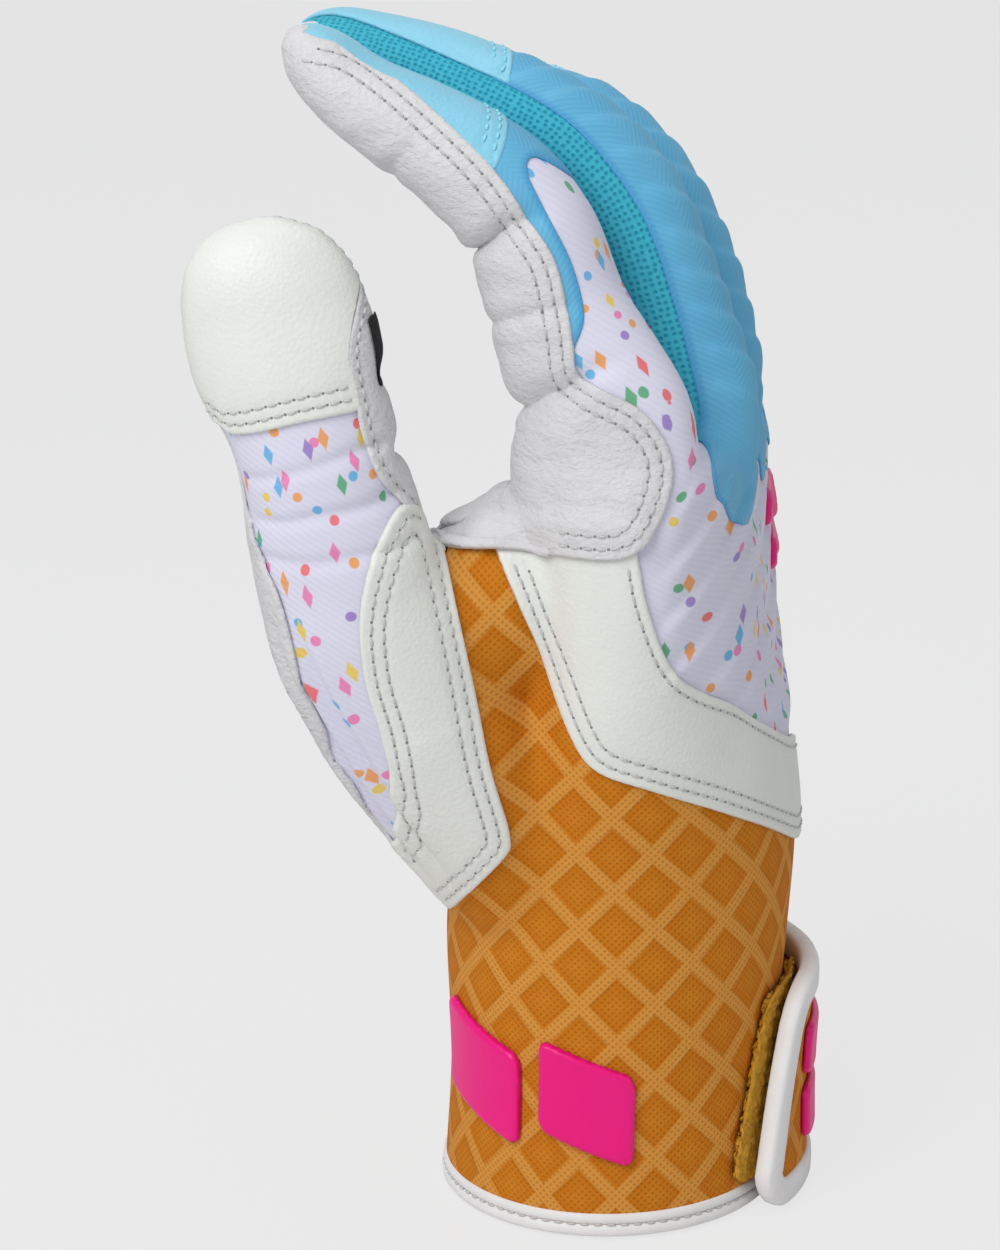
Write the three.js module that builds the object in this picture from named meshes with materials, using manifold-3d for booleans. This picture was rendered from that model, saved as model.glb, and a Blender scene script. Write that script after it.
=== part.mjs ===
// A right-hand batting glove that stands on its hem, with the fingers up and lightly curled.
// Millimetres, +Z up, origin in the middle of the wrist opening.
// "back" runs from the palm to the back of the hand, "across" from the thumb to the little finger.
// An angle round the hand or a finger is 0 on the back, 90 at the little-finger side, 180 on the palm.
import * as THREE from 'three';
import Module from 'manifold-3d';

const kit = await Module();
kit.setup();

// Sizes that can be set by themselves
const HAND_TURN = 15; // degrees that the hand is turned about the wrist
const GAP = 0.3; // between pieces that are sewn or stuck together
const WALL = 1.4; // leather, lycra and mesh with their lining
const CUFF_WALL = 2.2; // padded knit of the cuff
const OVERLAY = 1.1; // leatherette sewn on top of another panel
const CUFF_DEEP = 28; // half the hem from palm to back
const CUFF_BROAD = 31; // half the hem across
const WRIST_HEIGHT = 46; // hem to the top of the strap
const KNUCKLE_HEIGHT = 130; // hem to the roots of the fingers
const KNUCKLE_DEEP = 16.2; // half the hand from palm to back at the knuckles
const FINGER_PITCH = 20.6; // from one finger to the next
const FINGER_SPACE = 0.7; // between neighbouring fingers
const FINGER_BAND = 12; // length that bends at the root of each finger
const FINGERTIP = 9; // length over which a finger rounds off
const TIP_CAP = 27; // length of the smooth piece over a fingertip
const THUMB_BAND = 11; // length that bends at the thumb's middle joint
const THUMB_CAP = 31; // length of the leatherette over the thumb's tip
const THUMBTIP = 12; // length over which the thumb rounds off
const HEM_HEIGHT = 5; // binding at the wrist opening
const HEM_WALL = 1.2;
const SLIT = 14; // degrees of the elastic gusset under the strap
const STRAP_LOW = 2.2; // middle of the strap's bottom edge above the hem
const STRAP_HIGH = 36; // middle of the strap's top edge above the hem
const STRAP_WALL = 1.9;
const STRAP_ROOT = 100; // degrees round the wrist where the strap is sewn on
const STRAP_FOLD = 36; // degrees where the strap's tab starts to peel
const STRAP_END = -16; // degrees where the tab ends, half way up
const STRAP_LEAN = 0.45; // degrees that the tab's end leans back for each millimetre of height
const LOOP_END = -30; // degrees where the loop pile ends, half way up the strap
const LOOP_LEAN = 0.25; // degrees for each millimetre of height
const LOOP_HIGH = 43; // top of the loop pile above the hem
const ROOT_LENGTH = 15; // degrees of the strap's sewn end
const BINDING = 1.9; // radius of the strap's rolled edge
const LOOP_PILE = 1.6; // loop half of the closure on the cuff
const HOOK_PILE = 1.1; // hook half of the closure on the tab
const EMBLEM = 1.3; // thickness of the raised bars

// Colours
const LEATHER = '#e9e8ea';
const LYCRA = '#d9d6ea';
const SKY = '#79c3ea';
const MESH = '#43c6d2';
const TIP = '#a9d7f2';
const OFFWHITE = '#e6e4e8';
const AMBER = '#d9962c';
const WHITE = '#f3f2f0';
const PINK = '#ee5f9b';
const TAN = '#c98b32';
const BLACK = '#1b1b1d';

const rad = (degrees) => (degrees * Math.PI) / 180;
const vec = (x, y, z) => new THREE.Vector3(x, y, z);
const TURN = rad(HAND_TURN);
const BACK = vec(Math.cos(TURN), -Math.sin(TURN), 0);
const ACROSS = vec(Math.sin(TURN), Math.cos(TURN), 0);
const handPoint = (back, across, z) =>
  vec(0, 0, z).addScaledVector(BACK, back).addScaledVector(ACROSS, across);

// A smooth curve through values at knots, flat beyond the ends
function through(knots, values) {
  const last = knots.length - 1;
  const slopes = knots.map((_, i) => {
    const a = Math.max(i - 1, 0);
    const b = Math.min(i + 1, last);
    return (values[b] - values[a]) / (knots[b] - knots[a]);
  });
  return (x) => {
    const at = THREE.MathUtils.clamp(x, knots[0], knots[last]);
    let i = 0;
    while (i < last - 1 && at > knots[i + 1]) i += 1;
    const step = knots[i + 1] - knots[i];
    const t = (at - knots[i]) / step;
    const from = (1 + 2 * t) * (1 - t) ** 2 * values[i] + t * (1 - t) ** 2 * step * slopes[i];
    const to = t * t * (3 - 2 * t) * values[i + 1] + t * t * (t - 1) * step * slopes[i + 1];
    return from + to;
  };
}

// Straight lines through [angle, value] pairs, for the edges of panels
function edge(pairs) {
  return (x) => {
    const last = pairs.length - 1;
    const at = THREE.MathUtils.clamp(x, pairs[0][0], pairs[last][0]);
    let i = 0;
    while (i < last - 1 && at > pairs[i + 1][0]) i += 1;
    const [a, b] = [pairs[i], pairs[i + 1]];
    return a[1] + ((b[1] - a[1]) * (at - a[0])) / (b[0] - a[0]);
  };
}

const spread = (from, to, steps) =>
  Array.from({ length: steps + 1 }, (_, i) => from + ((to - from) * i) / steps);

// One closed body from triangles given as points
function closedBody(triangles) {
  const index = new Map();
  const points = [];
  const faces = [];
  const number = (p) => {
    const key = [p.x, p.y, p.z].map((v) => Math.round(v * 1000)).join();
    if (!index.has(key)) {
      index.set(key, points.length);
      points.push(p);
    }
    return index.get(key);
  };
  let volume = 0;
  for (const [a, b, c] of triangles) {
    const [i, j, k] = [number(a), number(b), number(c)];
    if (i === j || j === k || k === i) continue;
    faces.push([i, j, k]);
    volume += points[i].dot(vec(0, 0, 0).crossVectors(points[j], points[k]));
  }
  const turned = volume < 0 ? faces.map(([i, j, k]) => [i, k, j]) : faces;
  const geometry = new THREE.BufferGeometry().setFromPoints(points);
  geometry.setIndex(turned.flat());
  return geometry;
}

function quad(list, a, b, c, d) {
  list.push([a, b, c], [a, c, d]);
}

// A curved plate between an outer and an inner surface, each a function of two counters
function plate(outer, inner, columns, rows) {
  const grid = (surface) =>
    spread(0, columns, columns).map((i) => spread(0, rows, rows).map((j) => surface(i, j)));
  const top = grid(outer);
  const low = grid(inner);
  const list = [];
  for (let i = 0; i < columns; i += 1) {
    for (let j = 0; j < rows; j += 1) {
      quad(list, top[i][j], top[i + 1][j], top[i + 1][j + 1], top[i][j + 1]);
      quad(list, low[i][j], low[i][j + 1], low[i + 1][j + 1], low[i + 1][j]);
    }
    quad(list, low[i][0], low[i + 1][0], top[i + 1][0], top[i][0]);
    quad(list, top[i][rows], top[i + 1][rows], low[i + 1][rows], low[i][rows]);
  }
  for (let j = 0; j < rows; j += 1) {
    quad(list, top[0][j], top[0][j + 1], low[0][j + 1], low[0][j]);
    quad(list, low[columns][j], low[columns][j + 1], top[columns][j + 1], top[columns][j]);
  }
  return closedBody(list);
}

// A closed loop of profiles, each a list of points
function loop(profiles) {
  const list = [];
  profiles.forEach((profile, i) => {
    const next = profiles[(i + 1) % profiles.length];
    profile.forEach((p, k) => {
      const m = (k + 1) % profile.length;
      quad(list, p, next[k], next[m], profile[m]);
    });
  });
  return closedBody(list);
}

// A solid bar whose rings run from one end to the other
function filled(rings) {
  const list = [];
  const middle = (ring) => ring.reduce((sum, p) => sum.add(p), vec(0, 0, 0)).divideScalar(ring.length);
  rings.slice(1).forEach((ring, i) => {
    const before = rings[i];
    ring.forEach((p, k) => {
      const m = (k + 1) % ring.length;
      quad(list, before[k], before[m], ring[m], p);
    });
  });
  const first = rings[0];
  const last = rings[rings.length - 1];
  first.forEach((p, k) => list.push([middle(first), first[(k + 1) % first.length], p]));
  last.forEach((p, k) => list.push([middle(last), p, last[(k + 1) % last.length]]));
  return closedBody(list);
}

// To and from the solids that are joined and cut
function solid(geometry) {
  const vertProperties = new Float32Array(geometry.getAttribute('position').array);
  const triVerts = new Uint32Array(geometry.index.array);
  return new kit.Manifold(new kit.Mesh({ numProp: 3, vertProperties, triVerts }));
}

function geometryOf(body) {
  const mesh = body.getMesh();
  const geometry = new THREE.BufferGeometry();
  geometry.setAttribute('position', new THREE.BufferAttribute(mesh.vertProperties, 3));
  geometry.setIndex(new THREE.BufferAttribute(mesh.triVerts, 1));
  return geometry;
}

// The piece that lies furthest to the front
function foremost(body) {
  const front = (piece) => piece.boundingBox().min[1];
  return body.decompose().reduce((best, piece) => (front(piece) < front(best) ? piece : best));
}

// What is left after cutting, without loose crumbs
function largest(body) {
  const pieces = body.decompose();
  return pieces.reduce((best, piece) => (piece.volume() > best.volume() ? piece : best));
}

const glove = new THREE.Group();
glove.name = 'batting_glove';

function add(name, colour, geometry, roughness = 0.7) {
  const material = new THREE.MeshStandardMaterial({ color: colour, roughness, metalness: 0 });
  const mesh = new THREE.Mesh(geometry, material);
  mesh.name = name;
  glove.add(mesh);
}

// The hand from the hem to the knuckles, as rings at rising heights
const rise = (share) => WRIST_HEIGHT + share * (KNUCKLE_HEIGHT - WRIST_HEIGHT);
const KNUCKLE_BROAD = 2 * FINGER_PITCH;
const HAND = [
  { z: 0, back: -1, deep: CUFF_DEEP, broad: CUFF_BROAD, square: 2, twist: 0 },
  { z: 0.48 * WRIST_HEIGHT, back: -0.5, deep: CUFF_DEEP - 0.7, broad: CUFF_BROAD - 0.5, square: 2, twist: 0 },
  { z: WRIST_HEIGHT, back: 0, deep: CUFF_DEEP + 0.5, broad: CUFF_BROAD + 0.5, square: 2, twist: 0 },
  { z: rise(0.17), back: 1.5, deep: CUFF_DEEP - 0.2, broad: CUFF_BROAD + 2, square: 2, twist: -1 },
  { z: rise(0.36), back: 3.3, deep: KNUCKLE_DEEP + 8.3, broad: KNUCKLE_BROAD - 5, square: 2.1, twist: -2 },
  { z: rise(0.57), back: 5, deep: KNUCKLE_DEEP + 3.8, broad: KNUCKLE_BROAD - 2, square: 2.2, twist: -3 },
  { z: rise(0.8), back: 5.2, deep: KNUCKLE_DEEP + 1.2, broad: KNUCKLE_BROAD, square: 2.5, twist: -4 },
  { z: KNUCKLE_HEIGHT, back: 5.2, deep: KNUCKLE_DEEP, broad: KNUCKLE_BROAD + 0.3, square: 3.1, twist: -5 },
];
const handCurve = (key) => through(HAND.map((ring) => ring.z), HAND.map((ring) => ring[key]));
const ring = Object.fromEntries(['back', 'deep', 'broad', 'square', 'twist'].map((key) => [key, handCurve(key)]));

function handSurface(degrees, z, out) {
  const power = 2 / ring.square(z);
  const c = Math.cos(rad(degrees));
  const s = Math.sin(rad(degrees));
  const deep = (ring.deep(z) + out) * Math.sign(c) * Math.abs(c) ** power;
  const broad = (ring.broad(z) + out) * Math.sign(s) * Math.abs(s) ** power;
  const twist = rad(ring.twist(z));
  const back = ring.back(z) + deep * Math.cos(twist) + broad * Math.sin(twist);
  return handPoint(back, broad * Math.cos(twist) - deep * Math.sin(twist), z);
}

// A panel of the hand between two edges, over a list of angles
function handPanel(angles, low, high, rows, inner, outer, surface = handSurface) {
  const place = (out) => (i, j) => {
    const z = low(angles[i]) + ((high(angles[i]) - low(angles[i])) * j) / rows;
    return surface(angles[i], z, out);
  };
  return plate(place(outer), place(inner), angles.length - 1, rows);
}

function handCore(out) {
  const heights = [-HEM_HEIGHT, ...spread(0, KNUCKLE_HEIGHT, 16), KNUCKLE_HEIGHT + HEM_HEIGHT];
  return solid(filled(heights.map((z) => spread(0, 350, 35).map((a) => handSurface(a, z, out).setZ(z)))));
}

// A tube along points with an oval section, rounded off at its far end
function tube(points, halves, deeps, round, facing) {
  const steps = points.slice(1).map((p, i) => p.distanceTo(points[i]));
  const knots = [0, ...steps.map((_, i) => steps.slice(0, i + 1).reduce((sum, v) => sum + v, 0))];
  const length = knots[knots.length - 1];
  const line = ['x', 'y', 'z'].map((axis) => through(knots, points.map((p) => p[axis])));
  const half = through(knots, halves);
  const deep = through(knots, deeps);
  const centre = (s) => vec(...line.map((f) => f(s)));
  const frame = (s) => {
    const along = centre(Math.min(s + 0.5, length)).sub(centre(Math.max(s - 0.5, 0))).normalize();
    const side = facing.side ?? vec(0, 0, 0).crossVectors(along, facing.front).normalize();
    return { side, front: vec(0, 0, 0).crossVectors(side, along).normalize() };
  };
  const point = (degrees, s, out) => {
    const start = length - round;
    const past = round > 0 ? Math.max(0, (s - start) / round) : 0;
    const shrink = Math.sqrt(Math.max(0, 1 - past * past));
    const at = past > 0 ? start + past * (round + Math.min(out, 0)) : s;
    const { side, front } = frame(at);
    const across = (half(at) + out) * shrink * Math.sin(rad(degrees));
    const front2 = (deep(at) + out) * shrink * Math.cos(rad(degrees));
    return centre(at).addScaledVector(side, across).addScaledVector(front, front2);
  };
  const panel = (from, to, columns, start, end, rows, inner, outer) => {
    const place = (out) => (i, j) => {
      const s = start + ((end - start) * j) / rows;
      const [a, b] = [from, to].map((turn) => (typeof turn === 'function' ? turn(s) : turn));
      return point(a + ((b - a) * i) / columns, s, out);
    };
    return plate(place(outer), place(inner), columns, rows);
  };
  const core = (out, start, end, rings = 10) =>
    solid(filled(spread(start, end, rings).map((s) => spread(0, 340, 17).map((a) => point(a, s, out)))));
  // Degrees that a gap takes at the side of the tube
  const slip = rad(1) ** -1 * (GAP / 2 / Math.min(...halves));
  return { length, centre, point, panel, core, slip };
}

// The rounded end of a tube as a closed cap with its own wall
function dome(body, start) {
  return body.core(0, start, body.length, 2).subtract(body.core(-WALL, start - WALL, body.length, 3));
}

// Fingers: points are [towards the back, above the knuckles, half depth]
const FINGER_HALF = (FINGER_PITCH - FINGER_SPACE) / 2;
const FIRST = -1.5 * FINGER_PITCH;
const fingers = {
  index: {
    across: FIRST,
    points: [[5.4, 0, 15.2], [5.4, 8, 14.8], [-0.5, 22.4, 12.2], [-6.3, 36, 10.7],
      [-14.3, 44.4, 9.8], [-25, 51.3, 8.6], [-35.5, 56.4, 7.4], [-47, 63.5, 5.8]],
  },
  middle: {
    across: FIRST + FINGER_PITCH,
    points: [[9.3, 0, 15.2], [9.3, 8, 14.8], [7.4, 22.4, 12.6], [3, 36, 11],
      [-5.4, 46, 10.2], [-17.5, 52.6, 9], [-33, 57.4, 7.6], [-52, 60.5, 5.8]],
  },
  ring: {
    across: FIRST + 2 * FINGER_PITCH,
    points: [[6, 0, 15], [6, 8, 14.4], [4, 21.5, 12.4], [-0.6, 34, 10.8],
      [-8.6, 42.6, 9.8], [-19.5, 47.6, 8.8], [-33, 49.8, 7.4], [-47, 51, 5.8]],
  },
  little: {
    across: FIRST + 3 * FINGER_PITCH,
    points: [[0.4, 0, 13.6], [0.4, 8, 13], [-1.8, 19.5, 11.2], [-6.2, 29.5, 9.6],
      [-13.6, 36, 8.8], [-23, 39.4, 7.6], [-36, 41.2, 5.6]],
  },
};

// The strip of mesh between two fingers runs along the facing sides
const LEATHER_EDGE = [-84, -76, -50]; // degrees round the index finger where its leather ends, root to tip
const SIDE_STRIP = { index: [0, 1], middle: [1, 1], ring: [1, 1], little: [1, 0] };
for (const [name, finger] of Object.entries(fingers)) {
  const places = finger.points.map(([back, up]) =>
    handPoint(back, finger.across, KNUCKLE_HEIGHT + GAP + up));
  const last = finger.points.length - 1;
  const halves = finger.points.map((_, i) => FINGER_HALF * (i === last ? 0.66 : i === last - 1 ? 0.86 : 1));
  const body = tube(places, halves, finger.points.map((p) => p[2]), FINGERTIP, { side: ACROSS });
  finger.body = body;
  const root = FINGER_BAND;
  const start = root + GAP;
  const nail = body.length - FINGERTIP * 0.25;
  const capStart = body.length - TIP_CAP;
  const [radial, ulnar] = SIDE_STRIP[name];
  const climb = through([0, body.length * 0.5, body.length], LEATHER_EDGE);
  const backFrom = radial ? () => -58 : climb;
  const backTo = ulnar ? 58 : 88;
  const palmFrom = ulnar ? 122 : 92;
  const palmTo = (s) => 360 + (radial ? -122 : backFrom(s));
  const g = body.slip;
  const skin = solid(body.panel(palmFrom + g, (s) => palmTo(s) - g, 6, start, body.length - FINGERTIP * 0.2, 8, -WALL, 0));
  add(name + '_palm', LEATHER, geometryOf(skin.add(dome(body, body.length - FINGERTIP * 0.22))));
  add(name + '_back', SKY, body.panel((s) => backFrom(s) + g, backTo - g, 6, start, capStart - GAP, 6, -WALL, 0), 0.8);
  add(name + '_cap', TIP, body.panel((s) => backFrom(s) + g, backTo - g, 6, capStart, nail - GAP, 4, -WALL, 0), 0.5);
  if (radial) {
    add(name + '_strip_thumbside', MESH, body.panel(-122 + g, -58 - g, 3, start, nail - GAP, 8, -WALL, 0), 0.9);
  }
  if (ulnar) {
    add(name + '_strip_farside', MESH, body.panel(58 + g, 122 - g, 3, start, nail - GAP, 8, -WALL, 0), 0.9);
  }
  const wrap = name === 'index' ? -54 : -90;
  add(name + '_root_back', name === 'index' ? LYCRA : SKY, body.panel(wrap + g, 90 - g, 8, 0, root, 3, -WALL, 0), 0.8);
  add(name + '_root_palm', LEATHER, body.panel(90 + g, 360 + wrap - g, 8, 0, root, 3, -WALL, 0));
}

// Thumb, with its back to the front of the glove: [x, y, share of the hand's rise, half width, half thickness]
const THUMB = [
  [-12, -12, 0.143, 15, 16],
  [-22, -20, 0.333, 15.5, 15],
  [-32, -27, 0.512, 15.5, 14],
  [-39.5, -32, 0.667, 15, 12.8],
  [-44, -35, 0.82, 13.7, 11.5],
  [-47, -36.5, 0.965, 12.9, 10.5],
  [-50, -37.5, 1.095, 13.2, 9.5],
  [-53, -38, 1.226, 14.1, 8.5],
  [-54.6, -38, 1.333, 13.1, 7.4],
  [-54.4, -38, 1.47, 12.4, 6],
];
const FRONT = vec(0, -1, 0);
const thumb = tube(
  THUMB.map(([x, y, share]) => vec(x, y, rise(share))),
  THUMB.map((p) => p[3]),
  THUMB.map((p) => p[4]),
  THUMBTIP,
  { front: FRONT },
);
const thumbBend = thumb.length - 46; // along the thumb to its middle joint
const bandStart = thumbBend - THUMB_BAND / 2;
const bandEnd = thumbBend + THUMB_BAND / 2;

// Web between thumb and index finger: [x, y, share of the rise, half height, half thickness]
const WEB = [
  [-40, -33.5, 0.667, 12.5, 9],
  [-27, -29, 0.69, 13, 9],
  [-14, -24, 0.75, 16, 11],
  [0, -18, 0.76, 16, 12],
];
const web = tube(
  WEB.map(([x, y, share]) => vec(x, y, rise(share))),
  WEB.map((p) => p[3]),
  WEB.map((p) => p[4]),
  0,
  { front: FRONT },
);

// Solids that the neighbouring panels are cut back to
const handClear = handCore(GAP);
const thumbClear = thumb.core(GAP, 0, bandStart + GAP);
const webClear = web.core(GAP, 0, web.length);
const sideClear = thumbClear.add(webClear);
const cutSide = (geometry) => geometryOf(largest(solid(geometry).subtract(sideClear)));
const cutHand = (geometry) => solid(geometry).subtract(handClear);

const g = thumb.slip;
const SEAM = 96; // degrees round the thumb where back and palm are sewn together
const baseBack = cutHand(thumb.panel(-SEAM + g, SEAM - g, 10, 0, bandStart - GAP, 9, -WALL, 0)).subtract(webClear);
const basePalm = cutHand(thumb.panel(SEAM + g, 360 - SEAM - g, 9, 0, bandStart - GAP, 9, -WALL, 0)).subtract(webClear);
add('thumb_base_back', LYCRA, geometryOf(largest(baseBack)), 0.8);
add('thumb_base_palm', LEATHER, geometryOf(largest(basePalm)));
add('thumb_root_back', LYCRA, thumb.panel(-SEAM + g, SEAM - g, 9, bandStart, bandEnd, 3, -WALL, 0), 0.8);
add('thumb_root_palm', LEATHER, thumb.panel(SEAM + g, 360 - SEAM - g, 8, bandStart, bandEnd, 3, -WALL, 0));
const thumbCapStart = thumb.length - THUMB_CAP;
const thumbNail = thumb.length - THUMBTIP * 0.25;
add('thumb_back', LYCRA, thumb.panel(-SEAM + g, SEAM - g, 9, bandEnd + GAP, thumbCapStart - GAP, 3, -WALL, 0), 0.8);
add('thumb_cap', OFFWHITE, thumb.panel(-SEAM + g, SEAM - g, 9, thumbCapStart, thumbNail - GAP, 7, -WALL, 0), 0.5);
const thumbSkin = solid(thumb.panel(SEAM + g, 360 - SEAM - g, 8, bandEnd + GAP, thumb.length - THUMBTIP * 0.2, 9, -WALL, 0));
add('thumb_palm', LEATHER, geometryOf(thumbSkin.add(dome(thumb, thumb.length - THUMBTIP * 0.22))));
const LABEL_LENGTH = 10;
const labelStart = thumb.length - 24;
add('thumb_label', BLACK, thumb.panel(88, 118, 3, labelStart, labelStart + LABEL_LENGTH, 3, GAP, GAP + 0.6), 0.6);

// Where the cuff ends and the hand's panels begin, round the hand
const WAIST = [
  [-180, rise(0.08)], [-150, rise(0.12)], [-130, rise(0.55)], [-118, rise(0.68)], [-104, rise(0.6)],
  [-87, rise(0.5)], [-66, rise(0.46)], [-42, rise(0.42)], [-20, rise(0.36)], [0, rise(0.28)],
  [40, rise(0.22)], [90, rise(0.18)], [140, rise(0.1)], [180, rise(0.08)],
];
const waist = edge(WAIST);
const waistTurns = [...WAIST.map((p) => p[0]), ...WAIST.map((p) => p[0] + 360)];
const OVERLAY_LOW = [
  [-122, rise(0.78)], [-118, rise(0.62)], [-98, rise(0.452)], [-87, rise(0.393)], [-68, rise(0.357)],
  [-42, rise(0.313)], [0, rise(0.179)], [40, rise(0.13)], [104, rise(0.11)],
];
const OVERLAY_HIGH = [
  [-122, rise(0.812)], [-77, rise(0.812)], [-72, rise(0.73)], [-64, rise(0.61)], [-50, rise(0.558)],
  [-20, rise(0.5)], [0, rise(0.38)], [40, rise(0.31)], [104, rise(0.28)],
];
// Angles in even steps between two edges, with every corner of the edges that the panel shares
const STEP = 10;
const corners = (from, to, ...lists) => {
  const even = spread(-36, 72, 108).map((i) => i * STEP);
  const near = [...even, ...lists.flat()].filter((a) => a > from + 1.5 && a < to - 1.5);
  const sorted = [from, ...near, to].sort((a, b) => a - b);
  return sorted.filter((a, i) => i === 0 || i === sorted.length - 1 || a - sorted[i - 1] > 0.01);
};
const LOBE = [-80, -54]; // degrees round the hand that the palm's leather reaches over the index knuckle
const lobeLow = rise(0.83);
const slipHand = GAP / rad(KNUCKLE_DEEP);
const backAngles = [
  ...corners(LOBE[0] + slipHand, LOBE[1] - slipHand, waistTurns),
  ...corners(LOBE[1] + slipHand, 90 - slipHand, waistTurns),
];
const backTop = (a) => (a < LOBE[1] ? lobeLow - GAP : KNUCKLE_HEIGHT);
const palmAngles = [
  ...corners(90 + slipHand, 360 + LOBE[0] - slipHand, waistTurns),
  ...corners(360 + LOBE[0] + slipHand, 360 + LOBE[1] - slipHand),
];
const round = (a) => (a > 180 ? a - 360 : a);
const palmLow = (a) => (round(a) < 0 && round(a) > LOBE[0] ? lobeLow : waist(round(a)) + GAP);
const level = (z) => () => z;
add('hand_back', LYCRA, cutSide(handPanel(backAngles, (a) => waist(a) + GAP, backTop, 5, -WALL, 0)), 0.8);
add('palm_leather', LEATHER, cutSide(handPanel(palmAngles, palmLow, level(KNUCKLE_HEIGHT), 5, -WALL, 0)));
const webShell = web.core(0, 0, web.length).subtract(web.core(-WALL, 0, web.length));
add('thumb_web', LEATHER, geometryOf(largest(webShell.subtract(handClear).subtract(thumbClear))));
const overlayTurns = [...OVERLAY_LOW, ...OVERLAY_HIGH].map((p) => p[0]);
const overlayAngles = corners(overlayTurns[0], STRAP_ROOT, overlayTurns);
const overlay = handPanel(overlayAngles, edge(OVERLAY_LOW), edge(OVERLAY_HIGH), 4, GAP, GAP + OVERLAY);
add('back_overlay', OFFWHITE, cutSide(overlay), 0.5);

// Crescent of leatherette over the root of the thumb: outline as [x, share of the rise]
const CRESCENT = [
  [-37, 0.86], [-40, 0.83], [-41.9, 0.717], [-40.9, 0.6], [-37.8, 0.474], [-34.8, 0.268],
  [-28.5, 0.145], [-20.3, 0.252], [-18.4, 0.307], [-21.7, 0.445], [-25.7, 0.677], [-29.1, 0.8],
];
const outline = new THREE.Shape(CRESCENT.map(([x, share]) => new THREE.Vector2(x, rise(share))));
const stamp = new THREE.ExtrudeGeometry(outline, { depth: 60, bevelEnabled: false });
stamp.rotateX(Math.PI / 2);
const crescentStamp = solid(closedBody(spread(0, stamp.getAttribute('position').count / 3 - 1, stamp.getAttribute('position').count / 3 - 1)
  .map((i) => [0, 1, 2].map((k) => vec(0, 0, 0).fromBufferAttribute(stamp.getAttribute('position'), 3 * i + k)))));
const lifted = (out) => thumb.core(out, 0, bandStart + GAP).add(handCore(out)).add(web.core(out, 0, web.length));
const crescent = lifted(GAP + OVERLAY).subtract(lifted(GAP)).intersect(crescentStamp);
add('thumb_overlay', OFFWHITE, geometryOf(foremost(crescent)), 0.5);

// Cuff, open at the elastic gusset under the strap
const slitFrom = STRAP_FOLD + 18;
const slitTo = slitFrom + SLIT;
const slipCuff = GAP / 2 / rad(CUFF_DEEP);
const cuffAngles = corners(slitTo + slipCuff, slitFrom + 360 - slipCuff, waistTurns);
const cuffLow = HEM_WALL + GAP;
const cuffTop = (a) => waist(round(a)) - GAP;
add('cuff_sleeve', AMBER, cutSide(handPanel(cuffAngles, level(cuffLow), cuffTop, 5, -CUFF_WALL, 0)), 0.9);
const gussetAngles = spread(slitFrom + slipCuff, slitTo - slipCuff, 3);
add('slit_gusset', WHITE, handPanel(gussetAngles, level(cuffLow), cuffTop, 5, -CUFF_WALL, 0), 0.9);
const hemOut = GAP + HEM_WALL;
const hemIn = -CUFF_WALL - hemOut;
const hemProfile = [
  [hemOut, 0], [hemOut, HEM_HEIGHT], [GAP, HEM_HEIGHT], [GAP, HEM_WALL],
  [-CUFF_WALL - GAP, HEM_WALL], [-CUFF_WALL - GAP, HEM_HEIGHT], [hemIn, HEM_HEIGHT], [hemIn, 0],
];
add('hem_binding', WHITE, loop(spread(0, 350, 35).map((a) => hemProfile.map(([out, z]) => handSurface(a, z, out)))), 0.6);

// Closure: loop pile on the cuff, hook pile under the tab, then the strap
const loopOut = GAP + LOOP_PILE;
const hookIn = loopOut + GAP;
const hookOut = hookIn + HOOK_PILE;
const strapIn = hookOut + GAP;
const strapOut = strapIn + STRAP_WALL;
const strapMid = (strapIn + strapOut) / 2;
const edgeRoom = BINDING + GAP; // from the middle of the rolled edge to the strap itself
const strapLow = STRAP_LOW + edgeRoom;
const strapTop = STRAP_HIGH - edgeRoom;
const perDegree = rad(CUFF_DEEP + strapMid);
const edgeTurn = edgeRoom / perDegree;
const gapTurn = GAP / perDegree;
// The wrist's surface, leaning with the end of the tab
const strapMiddle = (STRAP_LOW + STRAP_HIGH) / 2;
const leaning = (end, lean) => (a, z, out) => {
  const share = Math.max(0, (STRAP_FOLD - a) / (STRAP_FOLD - end));
  return handSurface(a + share * lean * (z - strapMiddle), z, out);
};
const onTab = leaning(STRAP_END, STRAP_LEAN);
const loopAngles = spread(LOOP_END, STRAP_FOLD - 14, 7);
const loopPlate = handPanel(loopAngles, level(HEM_HEIGHT + 2 * GAP), level(LOOP_HIGH), 4, GAP, loopOut, leaning(LOOP_END, LOOP_LEAN));
add('loop_patch', TAN, loopPlate, 1);
const hookAngles = spread(STRAP_END + 9, STRAP_FOLD - 8, 6);
add('hook_patch', BLACK, handPanel(hookAngles, level(strapLow + 2), level(strapTop - 2), 4, hookIn, hookOut, onTab), 1);
const CORNER = 4.5; // radius of the tab's corners
const tabEnd = STRAP_END + edgeTurn;
const tabCorner = Math.max(CORNER - edgeRoom, GAP);
const cornerRise = (a) => {
  const left = Math.max(0, tabCorner - (a - tabEnd) * perDegree);
  return tabCorner - Math.sqrt(tabCorner ** 2 - left ** 2);
};
const tabAngles = [
  ...spread(tabEnd, tabEnd + tabCorner / perDegree, 3),
  ...spread(STRAP_END + CORNER / perDegree, STRAP_FOLD - gapTurn / 2, 8).slice(1),
];
const tabLow = (a) => strapLow + cornerRise(a);
const tabHigh = (a) => strapTop - cornerRise(a);
add('strap_tab', AMBER, handPanel(tabAngles, tabLow, tabHigh, 4, strapIn, strapOut, onTab), 0.8);
const baseAngles = spread(STRAP_FOLD + gapTurn / 2, STRAP_ROOT - gapTurn / 2, 9);
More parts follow.
